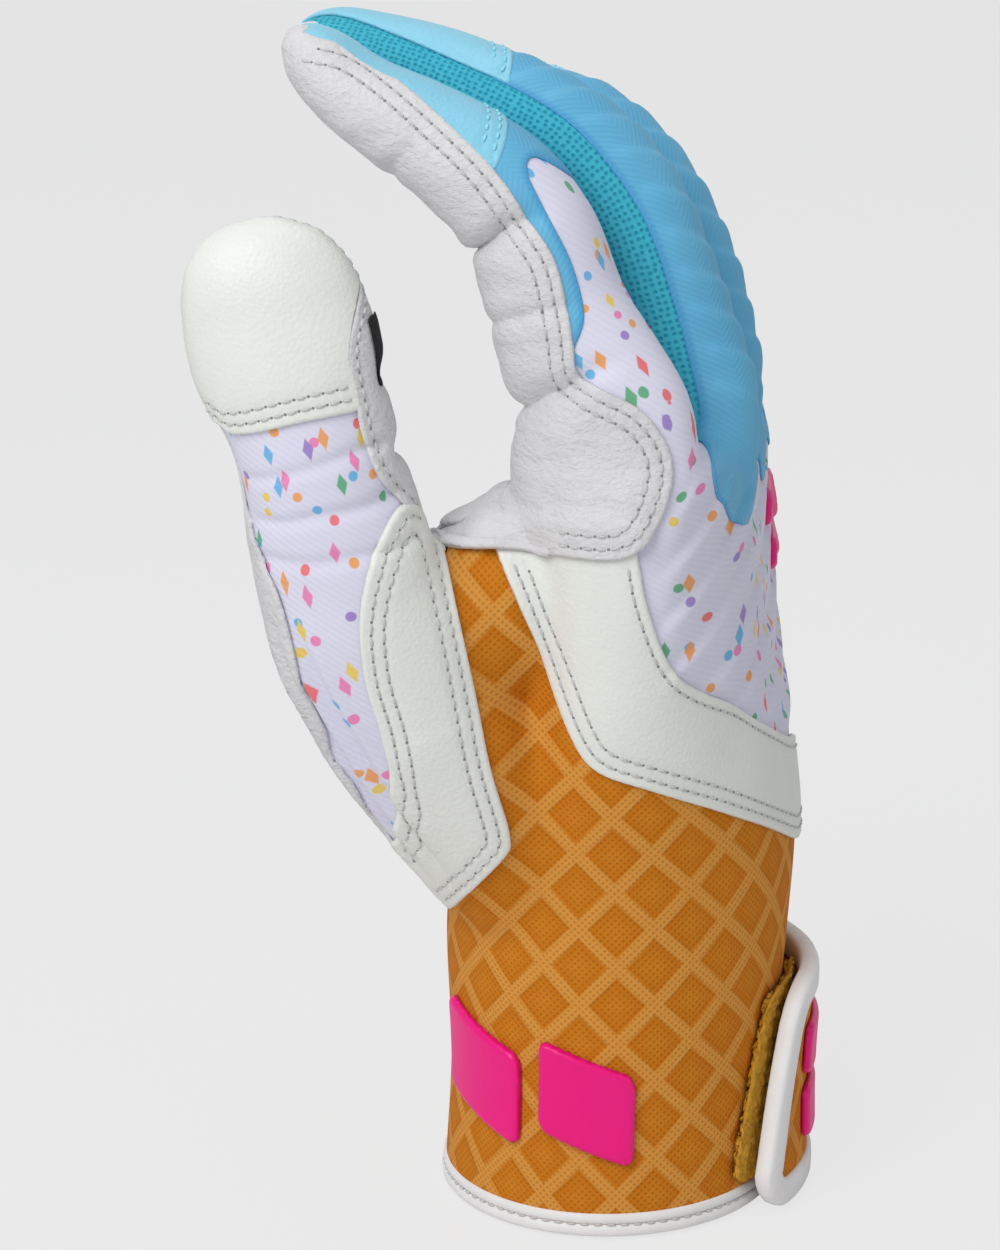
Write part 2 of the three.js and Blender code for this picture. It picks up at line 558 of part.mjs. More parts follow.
add('strap_base', AMBER, handPanel(baseAngles, level(strapLow), level(strapTop), 4, strapIn, strapOut), 0.8);
const rootAngles = spread(STRAP_ROOT + gapTurn / 2, STRAP_ROOT + ROOT_LENGTH, 3);
const rootLow = Math.max(strapLow, HEM_HEIGHT + GAP);
add('strap_root', AMBER, handPanel(rootAngles, level(rootLow), level(strapTop), 4, GAP, strapOut), 0.8);

// Rolled edge of the strap: a round cord of binding along its outline
function rolled(places) {
  const path = new THREE.CatmullRomCurve3(places);
  const profile = new THREE.Shape().absarc(0, 0, BINDING, 0, 2 * Math.PI);
  const made = new THREE.ExtrudeGeometry(profile, {
    steps: Math.round(1.5 * (places.length - 1)), curveSegments: 4, bevelEnabled: false, extrudePath: path,
  });
  const at = made.getAttribute('position');
  const corner = (k) => vec(0, 0, 0).fromBufferAttribute(at, k);
  return closedBody(spread(0, at.count / 3 - 1, at.count / 3 - 1).map((i) => [0, 1, 2].map((k) => corner(3 * i + k))));
}
const cornerTurn = CORNER / perDegree;
const onStrap = (a, z) => onTab(a, z, strapMid);
const cornerPoint = (turn, z, up) =>
  onStrap(STRAP_END + cornerTurn * (1 - Math.sin(turn)), z + up * CORNER * (1 - Math.cos(turn)));
const lowEdge = spread(STRAP_FOLD - gapTurn / 2, STRAP_END + cornerTurn, 7).map((a) => onStrap(a, STRAP_LOW));
const highEdge = spread(STRAP_END + cornerTurn, STRAP_FOLD - gapTurn / 2, 7).map((a) => onStrap(a, STRAP_HIGH));
const lowCorner = [rad(30), rad(60), rad(90)].map((t) => cornerPoint(t, STRAP_LOW, 1));
const highCorner = [rad(90), rad(60), rad(30)].map((t) => cornerPoint(t, STRAP_HIGH, -1));
const endMiddle = [onStrap(STRAP_END, (STRAP_LOW + STRAP_HIGH) / 2)];
add('tab_binding', WHITE, rolled([...lowEdge, ...lowCorner, ...endMiddle, ...highCorner, ...highEdge]), 0.5);
const baseEdge = (z) => rolled(spread(STRAP_FOLD + gapTurn / 2, STRAP_ROOT - gapTurn / 2, 7).map((a) => onStrap(a, z)));
add('base_binding_low', WHITE, baseEdge(STRAP_LOW), 0.5);
add('base_binding_high', WHITE, baseEdge(STRAP_HIGH), 0.5);

// Raised plain bars; a slant shifts a bar's top round the hand
function bar(from, to, low, high, slant, under, surface = handSurface) {
  const place = (out) => (i, j) => {
    const z = low + ((high - low) * j) / 2;
    return surface(from + ((to - from) * i) / 5 + (slant * j) / 2, z, out);
  };
  return plate(place(under + GAP + EMBLEM), place(under + GAP), 5, 2);
}
add('cuff_bar_left', PINK, bar(-146, -108, 17, 33, -6, 0), 0.35);
add('cuff_bar_right', PINK, bar(-101, -68, 15, 31, -6, 0), 0.35);
add('back_bar_high', PINK, bar(-14, 44, rise(0.775), rise(0.845), 0, 0), 0.35);
add('back_bar_low', PINK, bar(-14, 44, rise(0.69), rise(0.755), 0, 0), 0.35);
const STRAP_BAR = 9.5; // height of each bar on the strap
const strapBar = (low) =>
  bar(STRAP_END + 13, STRAP_FOLD - 4, strapMiddle + low, strapMiddle + low + STRAP_BAR, 0, strapOut, onTab);
add('strap_bar_high', PINK, strapBar(1), 0.35);
add('strap_bar_low', PINK, strapBar(-1 - STRAP_BAR), 0.35);

export default glove;
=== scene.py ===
# %% [markdown]
# # A right-hand batting glove that stands on its hem
# A batting glove is a thin bag of many cut panels: goat leather in the palm, stretch knit on the
# back, mesh between the fingers, leatherette over the wear points and a padded cuff with a strap.
# The panels are sewn over one hand, so they all follow one smooth form. This lesson first makes that
# form, then cuts every panel out of it, lifts it by its own thickness and sews it down.

# %% Load the frame
import math
from functools import partial

import bmesh
import bpy
import numpy as np
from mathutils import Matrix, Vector, noise


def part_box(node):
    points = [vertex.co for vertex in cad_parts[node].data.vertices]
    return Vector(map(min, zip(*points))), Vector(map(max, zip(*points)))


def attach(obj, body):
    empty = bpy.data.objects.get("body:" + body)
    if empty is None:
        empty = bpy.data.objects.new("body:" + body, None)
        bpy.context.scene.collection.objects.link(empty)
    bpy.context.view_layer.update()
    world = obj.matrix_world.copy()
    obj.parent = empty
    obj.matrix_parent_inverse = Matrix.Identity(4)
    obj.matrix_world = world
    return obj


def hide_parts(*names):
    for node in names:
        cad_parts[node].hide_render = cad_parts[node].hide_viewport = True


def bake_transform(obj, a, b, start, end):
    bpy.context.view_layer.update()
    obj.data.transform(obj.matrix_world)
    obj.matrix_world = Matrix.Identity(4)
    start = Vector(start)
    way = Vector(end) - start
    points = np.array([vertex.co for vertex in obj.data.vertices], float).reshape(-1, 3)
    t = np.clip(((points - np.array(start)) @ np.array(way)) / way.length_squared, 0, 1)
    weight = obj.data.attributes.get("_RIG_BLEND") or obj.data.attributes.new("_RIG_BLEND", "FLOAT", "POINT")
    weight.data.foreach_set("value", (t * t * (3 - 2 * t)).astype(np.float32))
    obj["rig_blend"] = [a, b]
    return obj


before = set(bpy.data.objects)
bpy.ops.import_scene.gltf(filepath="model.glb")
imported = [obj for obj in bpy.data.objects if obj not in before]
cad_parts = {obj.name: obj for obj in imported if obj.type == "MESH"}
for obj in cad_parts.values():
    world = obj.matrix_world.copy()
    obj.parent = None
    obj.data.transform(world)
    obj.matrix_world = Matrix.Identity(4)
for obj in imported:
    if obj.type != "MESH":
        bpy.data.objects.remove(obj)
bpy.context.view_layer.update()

# %% [markdown]
# ## Lengths and smooth curves
# The glove is drawn in millimetres and made small at the end. Every girth and every finger line is a
# smooth curve through a few measured values, so one small function for such a curve comes first.

# %% Smooth curves through a few values
MM = 0.001


def through(knots, values):
    """A smooth curve through values at knots, flat beyond the ends."""
    knots = np.asarray(knots, float)
    values = np.asarray(values, float)
    last = len(knots) - 1
    before = np.maximum(np.arange(last + 1) - 1, 0)
    after = np.minimum(np.arange(last + 1) + 1, last)
    column = (-1,) + (1,) * (values.ndim - 1)
    slopes = (values[after] - values[before]) / (knots[after] - knots[before]).reshape(column)

    def at(x):
        x = np.clip(np.atleast_1d(np.asarray(x, float)), knots[0], knots[last])
        i = np.clip(np.searchsorted(knots, x) - 1, 0, last - 1)
        step = (knots[i + 1] - knots[i]).reshape(column)
        t = ((x - knots[i]) / (knots[i + 1] - knots[i])).reshape(column)
        leaving = (1 + 2 * t) * (1 - t) ** 2 * values[i] + t * (1 - t) ** 2 * step * slopes[i]
        coming = t * t * (3 - 2 * t) * values[i + 1] + t * t * (t - 1) * step * slopes[i + 1]
        return leaving + coming

    return at


def ease(value, low, high):
    """0 below low, 1 above high, and a smooth step between them."""
    t = np.clip((np.asarray(value, float) - low) / (high - low), 0, 1)
    return t * t * (3 - 2 * t)


def unit(vectors):
    return vectors / np.maximum(np.linalg.norm(vectors, axis=-1, keepdims=True), 1e-9)


# %% [markdown]
# ## The hand from hem to knuckles
# The trunk of the glove is a stack of rounded ovals that grow flatter and broader towards the
# knuckles. Angles round it are 0 on the back, 90 at the little finger, 180 on the palm. The inverse
# function tells any point its angle and how far it lies outside the trunk.

# %% The trunk as ovals at rising heights
HAND_TURN = math.radians(15)
BACK = np.array([math.cos(HAND_TURN), -math.sin(HAND_TURN), 0])
ACROSS = np.array([math.sin(HAND_TURN), math.cos(HAND_TURN), 0])
WRIST_HEIGHT = 46.0
KNUCKLES = 130.0
FINGER_ROOT = KNUCKLES + 0.3
# height, towards the back, half depth, half breadth, squareness, twist in degrees
RINGS = np.array([
    [0, -1, 28, 31, 2, 0],
    [22.08, -0.5, 27.3, 30.5, 2, 0],
    [WRIST_HEIGHT, 0, 28.5, 31.5, 2, 0],
    [60.28, 1.5, 27.8, 33, 2, -1],
    [76.24, 3.3, 24.5, 36.2, 2.1, -2],
    [93.88, 5, 20, 39.2, 2.2, -3],
    [113.2, 5.2, 17.4, 41.2, 2.5, -4],
    [KNUCKLES, 5.2, 16.2, 41.5, 3.1, -5],
])
ring_at = through(RINGS[:, 0], RINGS[:, 1:])


def hand_surface(degrees, height, out=0.0):
    degrees, height, out = np.broadcast_arrays(*[np.asarray(v, float) for v in (degrees, height, out)])
    back, deep, broad, square, twist = ring_at(height.ravel()).T.reshape(5, *height.shape)
    c = np.cos(np.radians(degrees))
    s = np.sin(np.radians(degrees))
    deep = (deep + out) * np.sign(c) * np.abs(c) ** (2 / square)
    broad = (broad + out) * np.sign(s) * np.abs(s) ** (2 / square)
    turn = np.radians(twist)
    back = back + deep * np.cos(turn) + broad * np.sin(turn)
    across = broad * np.cos(turn) - deep * np.sin(turn)
    place = back[..., None] * BACK + across[..., None] * ACROSS
    place[..., 2] = height
    return place


def hand_measure(co):
    """Angle round the trunk and distance outside it, for points."""
    back, deep, broad, square, twist = ring_at(co[:, 2]).T
    turn = np.radians(twist)
    b = co @ BACK - back
    a = co @ ACROSS
    along_deep = b * np.cos(turn) - a * np.sin(turn)
    along_broad = b * np.sin(turn) + a * np.cos(turn)
    c = np.sign(along_deep) * np.abs(along_deep / deep) ** (square / 2)
    s = np.sign(along_broad) * np.abs(along_broad / broad) ** (square / 2)
    grown = np.hypot(c, s) ** (2 / square)
    reach = np.hypot(along_deep, along_broad)
    return np.degrees(np.arctan2(s, c)), reach * (1 - 1 / np.maximum(grown, 1e-6))


print("trunk: hem", 2 * RINGS[0, 3], "mm across, knuckles", 2 * RINGS[-1, 3], "mm across")

# %% [markdown]
# ## Fingers, thumb and web as soft tubes
# A finger stall is a tube along a bent line, with a half width, a half depth and a rounded end. The
# same class answers the inverse question: for a point near the tube, which angle round it and which
# length along it. Panels are cut by those two numbers.

# %% A soft tube


class Tube:
    def __init__(self, points, halves, deeps, rounding, zero=0.0, side=None, front=None):
        points = np.asarray(points, float)
        steps = np.linalg.norm(np.diff(points, axis=0), axis=1)
        knots = np.concatenate([[0], np.cumsum(steps)]) - zero
        self.start = knots[0]
        self.length = knots[-1]
        self.rounding = rounding
        self.line = through(knots, points)
        self.half = through(knots, halves)
        self.deep = through(knots, deeps)
        self.fixed_side = side
        self.facing = front

    def frame(self, s):
        along = unit(self.line(s + 0.5) - self.line(s - 0.5))
        if self.fixed_side is not None:
            side = np.broadcast_to(self.fixed_side, along.shape)
        else:
            side = unit(np.cross(along, self.facing))
        return side, unit(np.cross(side, along)), along

    def point(self, degrees, s):
        s = np.asarray(s, float).ravel()
        degrees = np.asarray(degrees, float).ravel()
        past = np.zeros_like(s)
        if self.rounding:
            past = np.clip((s - (self.length - self.rounding)) / self.rounding, 0, 1)
        shrink = np.sqrt(1 - past * past)[:, None]
        side, front, _ = self.frame(s)
        a = np.radians(degrees)[:, None]
        wide = self.half(s)[:, None] * shrink * np.sin(a) * side
        deep = self.deep(s)[:, None] * shrink * np.cos(a) * front
        return self.line(s) + wide + deep

    def measure(self, co, step=0.6, batch=8000):
        """Angle round the tube, length along it and distance outside it, for points."""
        samples = np.arange(self.start, self.length, step)
        centres = self.line(samples)
        nearest = np.empty(len(co), int)
        for i in range(0, len(co), batch):
            part = co[i:i + batch]
            gap = (centres * centres).sum(1) - 2 * part @ centres.T
            nearest[i:i + batch] = gap.argmin(1)
        s = samples[nearest]
        along = self.frame(s)[2]
        s = np.clip(s + ((co - self.line(s)) * along).sum(1), self.start, self.length)
        side, front, along = self.frame(s)
        away = co - self.line(s)
        wide = (away * side).sum(1) / self.half(s)
        deep = (away * front).sum(1) / self.deep(s)
        past = (away * along).sum(1)
        grown = np.hypot(wide, deep)
        out = (grown - 1) * np.sqrt(self.half(s) * self.deep(s)) + np.maximum(past, 0)
        return np.degrees(np.arctan2(wide, deep)), s, out


# %% The four fingers: towards the back, above the knuckles, half depth
FINGER_PITCH = 20.6
FINGER_HALF = 9.35
FINGERTIP = 9.0
ROOT_SUNK = 10.0
FINGER_LINES = {
    "index": [[5.2, 0, 15], [4.4, 8, 13.4], [-2.2, 22.4, 10.7], [-7.2, 36, 9.8],
              [-14.4, 43.8, 9], [-25.4, 50.6, 7.3], [-35.8, 56.4, 5.8], [-45.4, 65, 4.2]],
    "middle": [[9.3, 0, 15.2], [8.8, 8, 14.8], [6.1, 22.1, 12.2], [1.8, 35.2, 10.6],
               [-6.3, 44.8, 9.8], [-17.9, 51.5, 8.7], [-33, 57, 7.6], [-52, 61.2, 6]],
    "ring": [[6, 0, 15], [6, 8, 14.4], [4, 21.5, 12.4], [-0.6, 34, 10.8],
             [-8.6, 42.6, 9.8], [-19.5, 47.6, 8.8], [-33, 49.8, 7.4], [-47, 51, 5.8]],
    "little": [[0.4, 0, 13.6], [0.4, 8, 13], [-1.8, 19.5, 11.2], [-6.2, 29.5, 9.6],
               [-13.6, 36, 8.8], [-23, 39.4, 7.6], [-36, 41.2, 5.6]],
}
FINGERS = list(FINGER_LINES)
LANES = {name: (i - 1.5) * FINGER_PITCH for i, name in enumerate(FINGERS)}


def finger_tube(name):
    rows = FINGER_LINES[name]
    rows = [[rows[0][0], -ROOT_SUNK, rows[0][2] - 1.5]] + rows
    places = [b * BACK + LANES[name] * ACROSS + np.array([0, 0, FINGER_ROOT + up]) for b, up, _ in rows]
    halves = [FINGER_HALF] * (len(rows) - 2) + [0.88 * FINGER_HALF, 0.7 * FINGER_HALF]
    return Tube(places, halves, [row[2] for row in rows], FINGERTIP, ROOT_SUNK, side=ACROSS)


fingers = {name: finger_tube(name) for name in FINGERS}
print("finger lengths:", {name: round(float(t.length), 1) for name, t in fingers.items()})

# %% The thumb and the web: x, y, z, half width, half thickness
FRONT = np.array([0, -1.0, 0])
THUMB_LINE = np.array([
    [-12.7, -12, 58, 15.8, 16], [-22.6, -20, 74, 16.3, 15], [-32.3, -27, 89, 15.9, 14],
    [-39.5, -32, 102, 15, 12.8], [-44, -35, 114.9, 13.7, 11.5], [-46.4, -36.5, 127.1, 12.3, 10.5],
    [-49.2, -37.5, 138, 12.4, 9.5], [-52.7, -38, 149, 13.8, 8.5], [-54.6, -38, 158, 13.1, 7.4],
    [-54.4, -38, 169.5, 12.4, 6],
])
WEB_LINE = np.array([
    [-40, -33.5, 102, 12.5, 9], [-27, -29, 104, 13, 9], [-14, -24, 109, 16, 11], [0, -18, 109.8, 16, 12],
])
thumb = Tube(THUMB_LINE[:, :3], THUMB_LINE[:, 3], THUMB_LINE[:, 4], 12.0, front=FRONT)
web = Tube(WEB_LINE[:, :3], WEB_LINE[:, 3], WEB_LINE[:, 4], 0.0, front=FRONT)
print("thumb length:", round(float(thumb.length), 1), "mm")

# %% [markdown]
# ## One smooth form under all panels
# Each tube is a flat grid that is wrapped round its line and welded along the join. The tubes run
# into each other, so a voxel remesh makes one skin of them, and smoothing fills the creases where the
# thumb and the fingers leave the hand. A sculptor would do the same with clay.

# %% Wrap grids round the lines and weld them
VOXEL = 0.75


def wrapped_grid(bm, place, columns, rows):
    """A grid bent into a tube by place(share round, share along), welded and closed."""
    made = bmesh.ops.create_grid(bm, x_segments=columns, y_segments=rows, size=1)["verts"]
    flat = np.array([v.co for v in made])
    for vert, co in zip(made, place((flat[:, 0] + 1) / 2, (flat[:, 1] + 1) / 2)):
        vert.co = co
    bmesh.ops.remove_doubles(bm, verts=made, dist=1e-3)
    edges = [e for e in bm.edges if e.is_boundary]
    bmesh.ops.holes_fill(bm, edges=edges, sides=0)


def trunk_place(u, v):
    low = -6.0
    top = KNUCKLES + 4
    height = low + (top - low) * v
    past = np.clip((height - KNUCKLES + 1) / 5, 0, 1)
    place = hand_surface(360 * u, height)
    middle = ring_at(height)[:, :1] * BACK
    middle[:, 2] = height
    return middle + (place - middle) * np.sqrt(1 - 0.98 * past * past)[:, None]


rough = bmesh.new()
wrapped_grid(rough, trunk_place, 96, 70)
for tube in [thumb, web, *fingers.values()]:
    wrapped_grid(rough, lambda u, v, t=tube: t.point(360 * u, t.start + (t.length - t.start) * v), 40, 60)
bmesh.ops.recalc_face_normals(rough, faces=rough.faces)
form_mesh = bpy.data.meshes.new("form")
rough.to_mesh(form_mesh)
rough.free()
form_object = bpy.data.objects.new("form", form_mesh)
bpy.context.scene.collection.objects.link(form_object)
remesh = form_object.modifiers.new("one_skin", "REMESH")
remesh.mode = "VOXEL"
remesh.voxel_size = VOXEL
bpy.context.view_layer.update()
form = bmesh.new()
form.from_object(form_object, bpy.context.evaluated_depsgraph_get())
bpy.data.objects.remove(form_object)
bpy.data.meshes.remove(form_mesh)
print("form:", len(form.verts), "points")

# %% Smooth the skin, most where the tubes meet


def coordinates(bm):
    return np.array([v.co for v in bm.verts])


def smooth(bm, verts, times):
    axes = {"use_axis_x": True, "use_axis_y": True, "use_axis_z": True}
    for _ in range(times):
        bmesh.ops.smooth_vert(bm, verts=verts, factor=0.5, **axes)


smooth(form, form.verts[:], 6)
points = coordinates(form)
outs = np.array([hand_measure(points)[1], thumb.measure(points)[2], web.measure(points)[2]])
second = np.sort(np.abs(outs), axis=0)[1]
thumb_join = (second < 6) & (points[:, 2] > 50) & (points[:, 2] < 126)
knuckle_join = np.abs(points[:, 2] - 132) < 5
for join, times, where in ((thumb_join, 60, "thumb"), (knuckle_join, 25, "knuckles")):
    smooth(form, [v for v, near in zip(form.verts, join) if near], times)
    print("smoothed:", int(join.sum()), "points at the", where)

# %% [markdown]
# ## Where every point of the form lies
# A pattern maker chalks lines on a hand form. Here each point gets its angle round the trunk, its
# finger with angle and length, and its place in the front view, and the chalk lines are level lines
# of those numbers.

# %% Front view: the camera's own place, in photograph pixels
CAMERA_TILT = math.radians(15)
CAMERA_AWAY = 660.0
CAMERA_TARGET = np.array([-19.8, 0, 95.7])
FOCAL_PIXELS = 4000.0
PICTURE = (1000, 1250)
PIXEL = CAMERA_AWAY / FOCAL_PIXELS
TO_CAMERA = np.array([0, -math.cos(CAMERA_TILT), math.sin(CAMERA_TILT)])


def picture_place(co):
    away = co - CAMERA_TARGET
    depth = CAMERA_AWAY - away @ TO_CAMERA
    up = away[:, 1] * math.sin(CAMERA_TILT) + away[:, 2] * math.cos(CAMERA_TILT)
    across = PICTURE[0] / 2 + FOCAL_PIXELS * away[:, 0] / depth
    down = PICTURE[1] / 2 - FOCAL_PIXELS * up / depth
    return np.column_stack([across, down])


# %% Wrinkles, pleats and ribs: points move in or out along their normals
# place along the line, depth and width of each dent
INDEX_CREASES = [[14.5, 2.2, 1.6], [27, 1.0, 1.2], [40.5, 3.0, 1.4], [61, 0.8, 1.3]]
THUMB_CREASES = [[88.5, 0.9, 0.8], [80.5, 1.1, 0.8], [74, 0.8, 0.8]]
THUMB_FOLDS = [[97, 1.6, 2.0], [85.5, 2.2, 1.8]]
NEAR_TUBE = 2.5
THUMB_ROUND, FINGER_ROUND = 12, 10.5
PLEAT_PITCH, PLEAT_HEIGHT = 3.8, 0.8
RIDGE_PITCH, RIDGE_HEIGHT, RIDGE_SLANT = 5.8, 0.85, 0.45
ROLL_PITCH, ROLL_HEIGHT, ROLL_SLOPE = 9.0, 1.1, 0.28
OVERLAY_TURNS = [-60, -42, 0, 15, 40, 104]
OVERLAY_LOW = through(OVERLAY_TURNS, [75.5, 72.3, 61, 59.8, 56.9, 55.2])
OVERLAY_HIGH = through(OVERLAY_TURNS, [95, 91.5, 78.5, 76, 72, 69.5])


def creases(s, rows):
    return sum(depth * np.exp(-(((s - at) / width) ** 2)) for at, depth, width in rows)


def rumple(co, size, seed):
    """Smooth noise at points, about -1 to 1."""
    shift = Vector((seed, 2.7 * seed, -1.3 * seed))
    return np.array([noise.noise(Vector(p) / size + shift) for p in co])


points = coordinates(form)
plain_picture = picture_place(points)
form.normal_update()
normals = np.array([v.normal for v in form.verts])
deg, s, out = fingers["index"].measure(points)
inner = ease(np.abs(((deg + 315) % 360) - 180), 95, 30)
on_index = (np.abs(out) < NEAR_TUBE) & (points[:, 2] > 128)
push = np.where(on_index, -inner * creases(s + 2 * rumple(points, 9, 3), INDEX_CREASES), 0)
push += np.where(on_index, inner * 0.45 * rumple(points * [1, 1, 1.6], 6, 11), 0)
print("index finger:", int(on_index.sum()), "points creased")

# %% Thumb: creases above its bend, and a fan of pleats in the knit below it
deg, s, out = thumb.measure(points)
on_thumb = (np.abs(out) < NEAR_TUBE) & (points[:, 2] > 100)
pleat = creases(s + 1.2 * rumple(points, 12, 8), THUMB_CREASES)
push -= np.where(on_thumb, ease(np.abs(deg), 85, 45) * pleat, 0)
push -= np.where(on_thumb, ease(deg, 60, 90) * creases(s, THUMB_FOLDS), 0)
fan = np.sin(np.radians(deg) * THUMB_ROUND * 2 * math.pi / PLEAT_PITCH)
fanned = ease(deg, -95, -80) * ease(deg, -15, -40) * ease(s, 12, 26) * ease(s, 68, 56)
push += np.where(np.abs(out) < 3, PLEAT_HEIGHT * fan * fanned, 0)
print("thumb:", int(on_thumb.sum()), "points creased")

# %% Fingers and back: embossed ribs, and rolls of cloth over the back of the hand
for name in ("middle", "ring", "little"):
    deg, s, out = fingers[name].measure(points)
    saw = ((s + RIDGE_SLANT * deg * math.radians(1) * FINGER_ROUND) / RIDGE_PITCH) % 1
    ridge = saw * ease(saw, 1.0, 0.8) * ease(np.abs(deg), 52, 40) * ease(s, 0, 8)
    below_cap = ease(s, fingers[name].length - 30, fingers[name].length - 36)
    push += np.where(np.abs(out) < 2, RIDGE_HEIGHT * ridge * below_cap, 0)
push += 0.3 * rumple(points, 13, 5) * ease(points[:, 2], 50, 75)
hand_turn = hand_measure(points)[0]
roll = ((points[:, 2] - ROLL_SLOPE * hand_turn) / ROLL_PITCH) % 1
over = points[:, 2] - OVERLAY_HIGH(np.clip(hand_turn, -60, 104))
rolls = ease(over, -1, 5) * ease(points[:, 2], 132, 122)
rolls = rolls * ease(hand_turn, -75, -60) * ease(hand_turn, 80, 60)
push += ROLL_HEIGHT * rolls * roll * ease(roll, 1.0, 0.8)
for vert, normal, move in zip(form.verts, normals, push):
    vert.co += Vector(normal * move)
smooth(form, form.verts[:], 2)
print("creases: deepest", round(float(-push.min()), 2), "mm")

# %% Chalk: numbers for every point of the finished form
form.normal_update()
form.verts.index_update()
points = coordinates(form)
normals = np.array([v.normal for v in form.verts])
height = points[:, 2]
turn, hand_out = hand_measure(points)
thumb_turn, thumb_s, thumb_out = thumb.measure(points)
web_turn, web_s, web_out = web.measure(points)
finger_numbers = {name: tube.measure(points) for name, tube in fingers.items()}
finger_out = np.array([finger_numbers[name][2] for name in FINGERS])
nearest_finger = finger_out.argmin(0)
picture = picture_place(points)
edges = np.array([[e.verts[0].index, e.verts[1].index] for e in form.edges])
degree = np.bincount(edges.ravel(), minlength=len(points))


def spread(values, times):
    """Values at the points, evened out over the skin."""
    for _ in range(times):
        total = np.bincount(edges[:, 0], values[edges[:, 1]], len(points))
        total += np.bincount(edges[:, 1], values[edges[:, 0]], len(points))
        values = 0.5 * values + 0.5 * total / degree
    return values


facing = spread(normals @ TO_CAMERA, 40)
lane = points @ ACROSS
beside_web = np.where(web_s > web.start + 0.5, web_out + 1, 99.0)
on_thumb_side = np.minimum(hand_out, beside_web) - thumb_out
corners = np.array([[v.index for v in face.verts] for face in form.faces])
print("chalked:", len(points), "points")

# %% How far the front of each part reaches round
index_turn, index_s, _ = finger_numbers["index"]
front_trunk = ease(turn, -150, -136) * ease(turn, 28, 12)
front_web = ease(np.abs(web_turn), 125, 105)
front_thumb = ease(np.abs(thumb_turn), 112, 92)
front_index = ease(index_turn, -168, -152) * ease(index_turn, 25, 5)
web_share = ease(hand_out - web_out, -1, 1)
seen = front_trunk + (front_web - front_trunk) * web_share
seen = np.where(height > FINGER_ROOT, front_index, seen)
seen = spread(np.where((on_thumb_side > 0) & (thumb_out < 8), front_thumb, seen), 10)
print("front:", int((seen > 0.5).sum()), "points")

# %% [markdown]
# ## Chalk lines
# Outlines that face the camera were read off the photograph as a few points each. A closed smooth
# curve goes through them, and the signed distance to that curve, in millimetres, is positive inside.
# Those distances are used again for stitch rows and rounded edges.

# %% Outlines in photograph pixels
LEATHER_OUTLINE = [
    (358, 270), (350, 320), (345, 354), (353, 400), (361, 437), (376, 476), (400, 504), (428, 536),
    (450, 549), (540, 551), (600, 558), (632, 553), (655, 530), (671, 487), (668, 448), (642, 411),
    (600, 388), (578, 371), (574, 345), (568, 310), (555, 260), (530, 220), (490, 165), (420, 100),
    (355, 52), (310, 37), (280, 14), (225, 5), (225, 110), (325, 200), (345, 250),
]
LOBE_SIDE = [
    (424, 580), (432, 540), (461, 527), (500, 505), (522, 472), (526, 445), (513, 422), (490, 398),
    (400, 220), (250, 80), (240, -20), (700, -20), (720, 300), (720, 600),
]
THUMB_SIDE = [
    (418, 500), (402, 560), (408, 640), (428, 740), (450, 830), (430, 905), (395, 960), (100, 960),
    (100, 100), (340, 100), (400, 420),
]
BACK_SIDE = [
    (560, 480), (566, 560), (590, 625), (618, 700), (650, 738), (700, 752), (760, 778), (900, 810),
    (1000, -80), (200, -80), (200, 420),
]
CRESCENT = [
    (399, 505), (372, 556), (359, 618), (365, 682), (384, 745), (397, 825), (392, 858), (405, 905),
    (432, 925), (446, 914), (502, 858), (509, 832), (488, 760), (462, 640), (445, 562), (432, 520),
]
BACK_OVERLAY = [
    (492, 534), (518, 605), (545, 662), (573, 738), (598, 771), (650, 790), (720, 812), (793, 838),
    (900, 870), (900, 770), (793, 741), (750, 708), (702, 692), (670, 666), (647, 605), (636, 548),
    (620, 536), (520, 532),
]
LEFT_STRIP = [
    (246, 505), (258, 540), (268, 568), (279, 590), (290, 624), (298, 655), (310, 695), (323, 726),
    (338, 757), (359, 787), (376, 813), (400, 852), (396, 890), (100, 900), (100, 490), (200, 480),
]
PRINT_WINDOW = [
    (536, 158), (527, 172), (547, 214), (571, 262), (584, 315), (574, 350), (560, 400), (640, 470),
    (722, 440), (694, 378), (662, 316), (634, 262), (612, 215), (575, 180),
]


def closed_curve(outline, steps=6):
    """Points of a smooth closed curve through an outline."""
    p = np.asarray(outline, float)
    a, b, c = np.roll(p, 1, 0), np.roll(p, -1, 0), np.roll(p, -2, 0)
    rows = []
    for t in np.arange(steps) / steps:
        rows.append(0.5 * (2 * p + (b - a) * t + (2 * a - 5 * p + 4 * b - c) * t**2
                           + (3 * p - a - 3 * b + c) * t**3))
    return np.stack(rows, 1).reshape(-1, 2)


def inside_outline(outline, place, batch=6000):
    """Signed distance in millimetres from every point's place to an outline, positive inside."""
    start = closed_curve(outline)
    run = np.roll(start, -1, 0) - start
    signed = np.empty(len(place))
    for i in range(0, len(place), batch):
        p = place[i:i + batch, None, :]
        share = np.clip(((p - start) * run).sum(2) / (run * run).sum(1), 0, 1)
        near = np.sqrt(((p - start - share[..., None] * run) ** 2).sum(2)).min(1)
        over = (start[:, 1] > p[..., 1]) != (start[:, 1] + run[:, 1] > p[..., 1])
        with np.errstate(divide="ignore", invalid="ignore"):
            crossing = start[:, 0] + run[:, 0] * (p[..., 1] - start[:, 1]) / run[:, 1]
        odd = (over & (p[..., 0] < crossing)).sum(1) % 2
        signed[i:i + batch] = np.where(odd == 1, near, -near)
    return PIXEL * signed


leather, lobe_side, thumb_side, back_side, back_overlay, print_window = [
    inside_outline(outline, picture)
    for outline in (LEATHER_OUTLINE, LOBE_SIDE, THUMB_SIDE, BACK_SIDE, BACK_OVERLAY, PRINT_WINDOW)
]
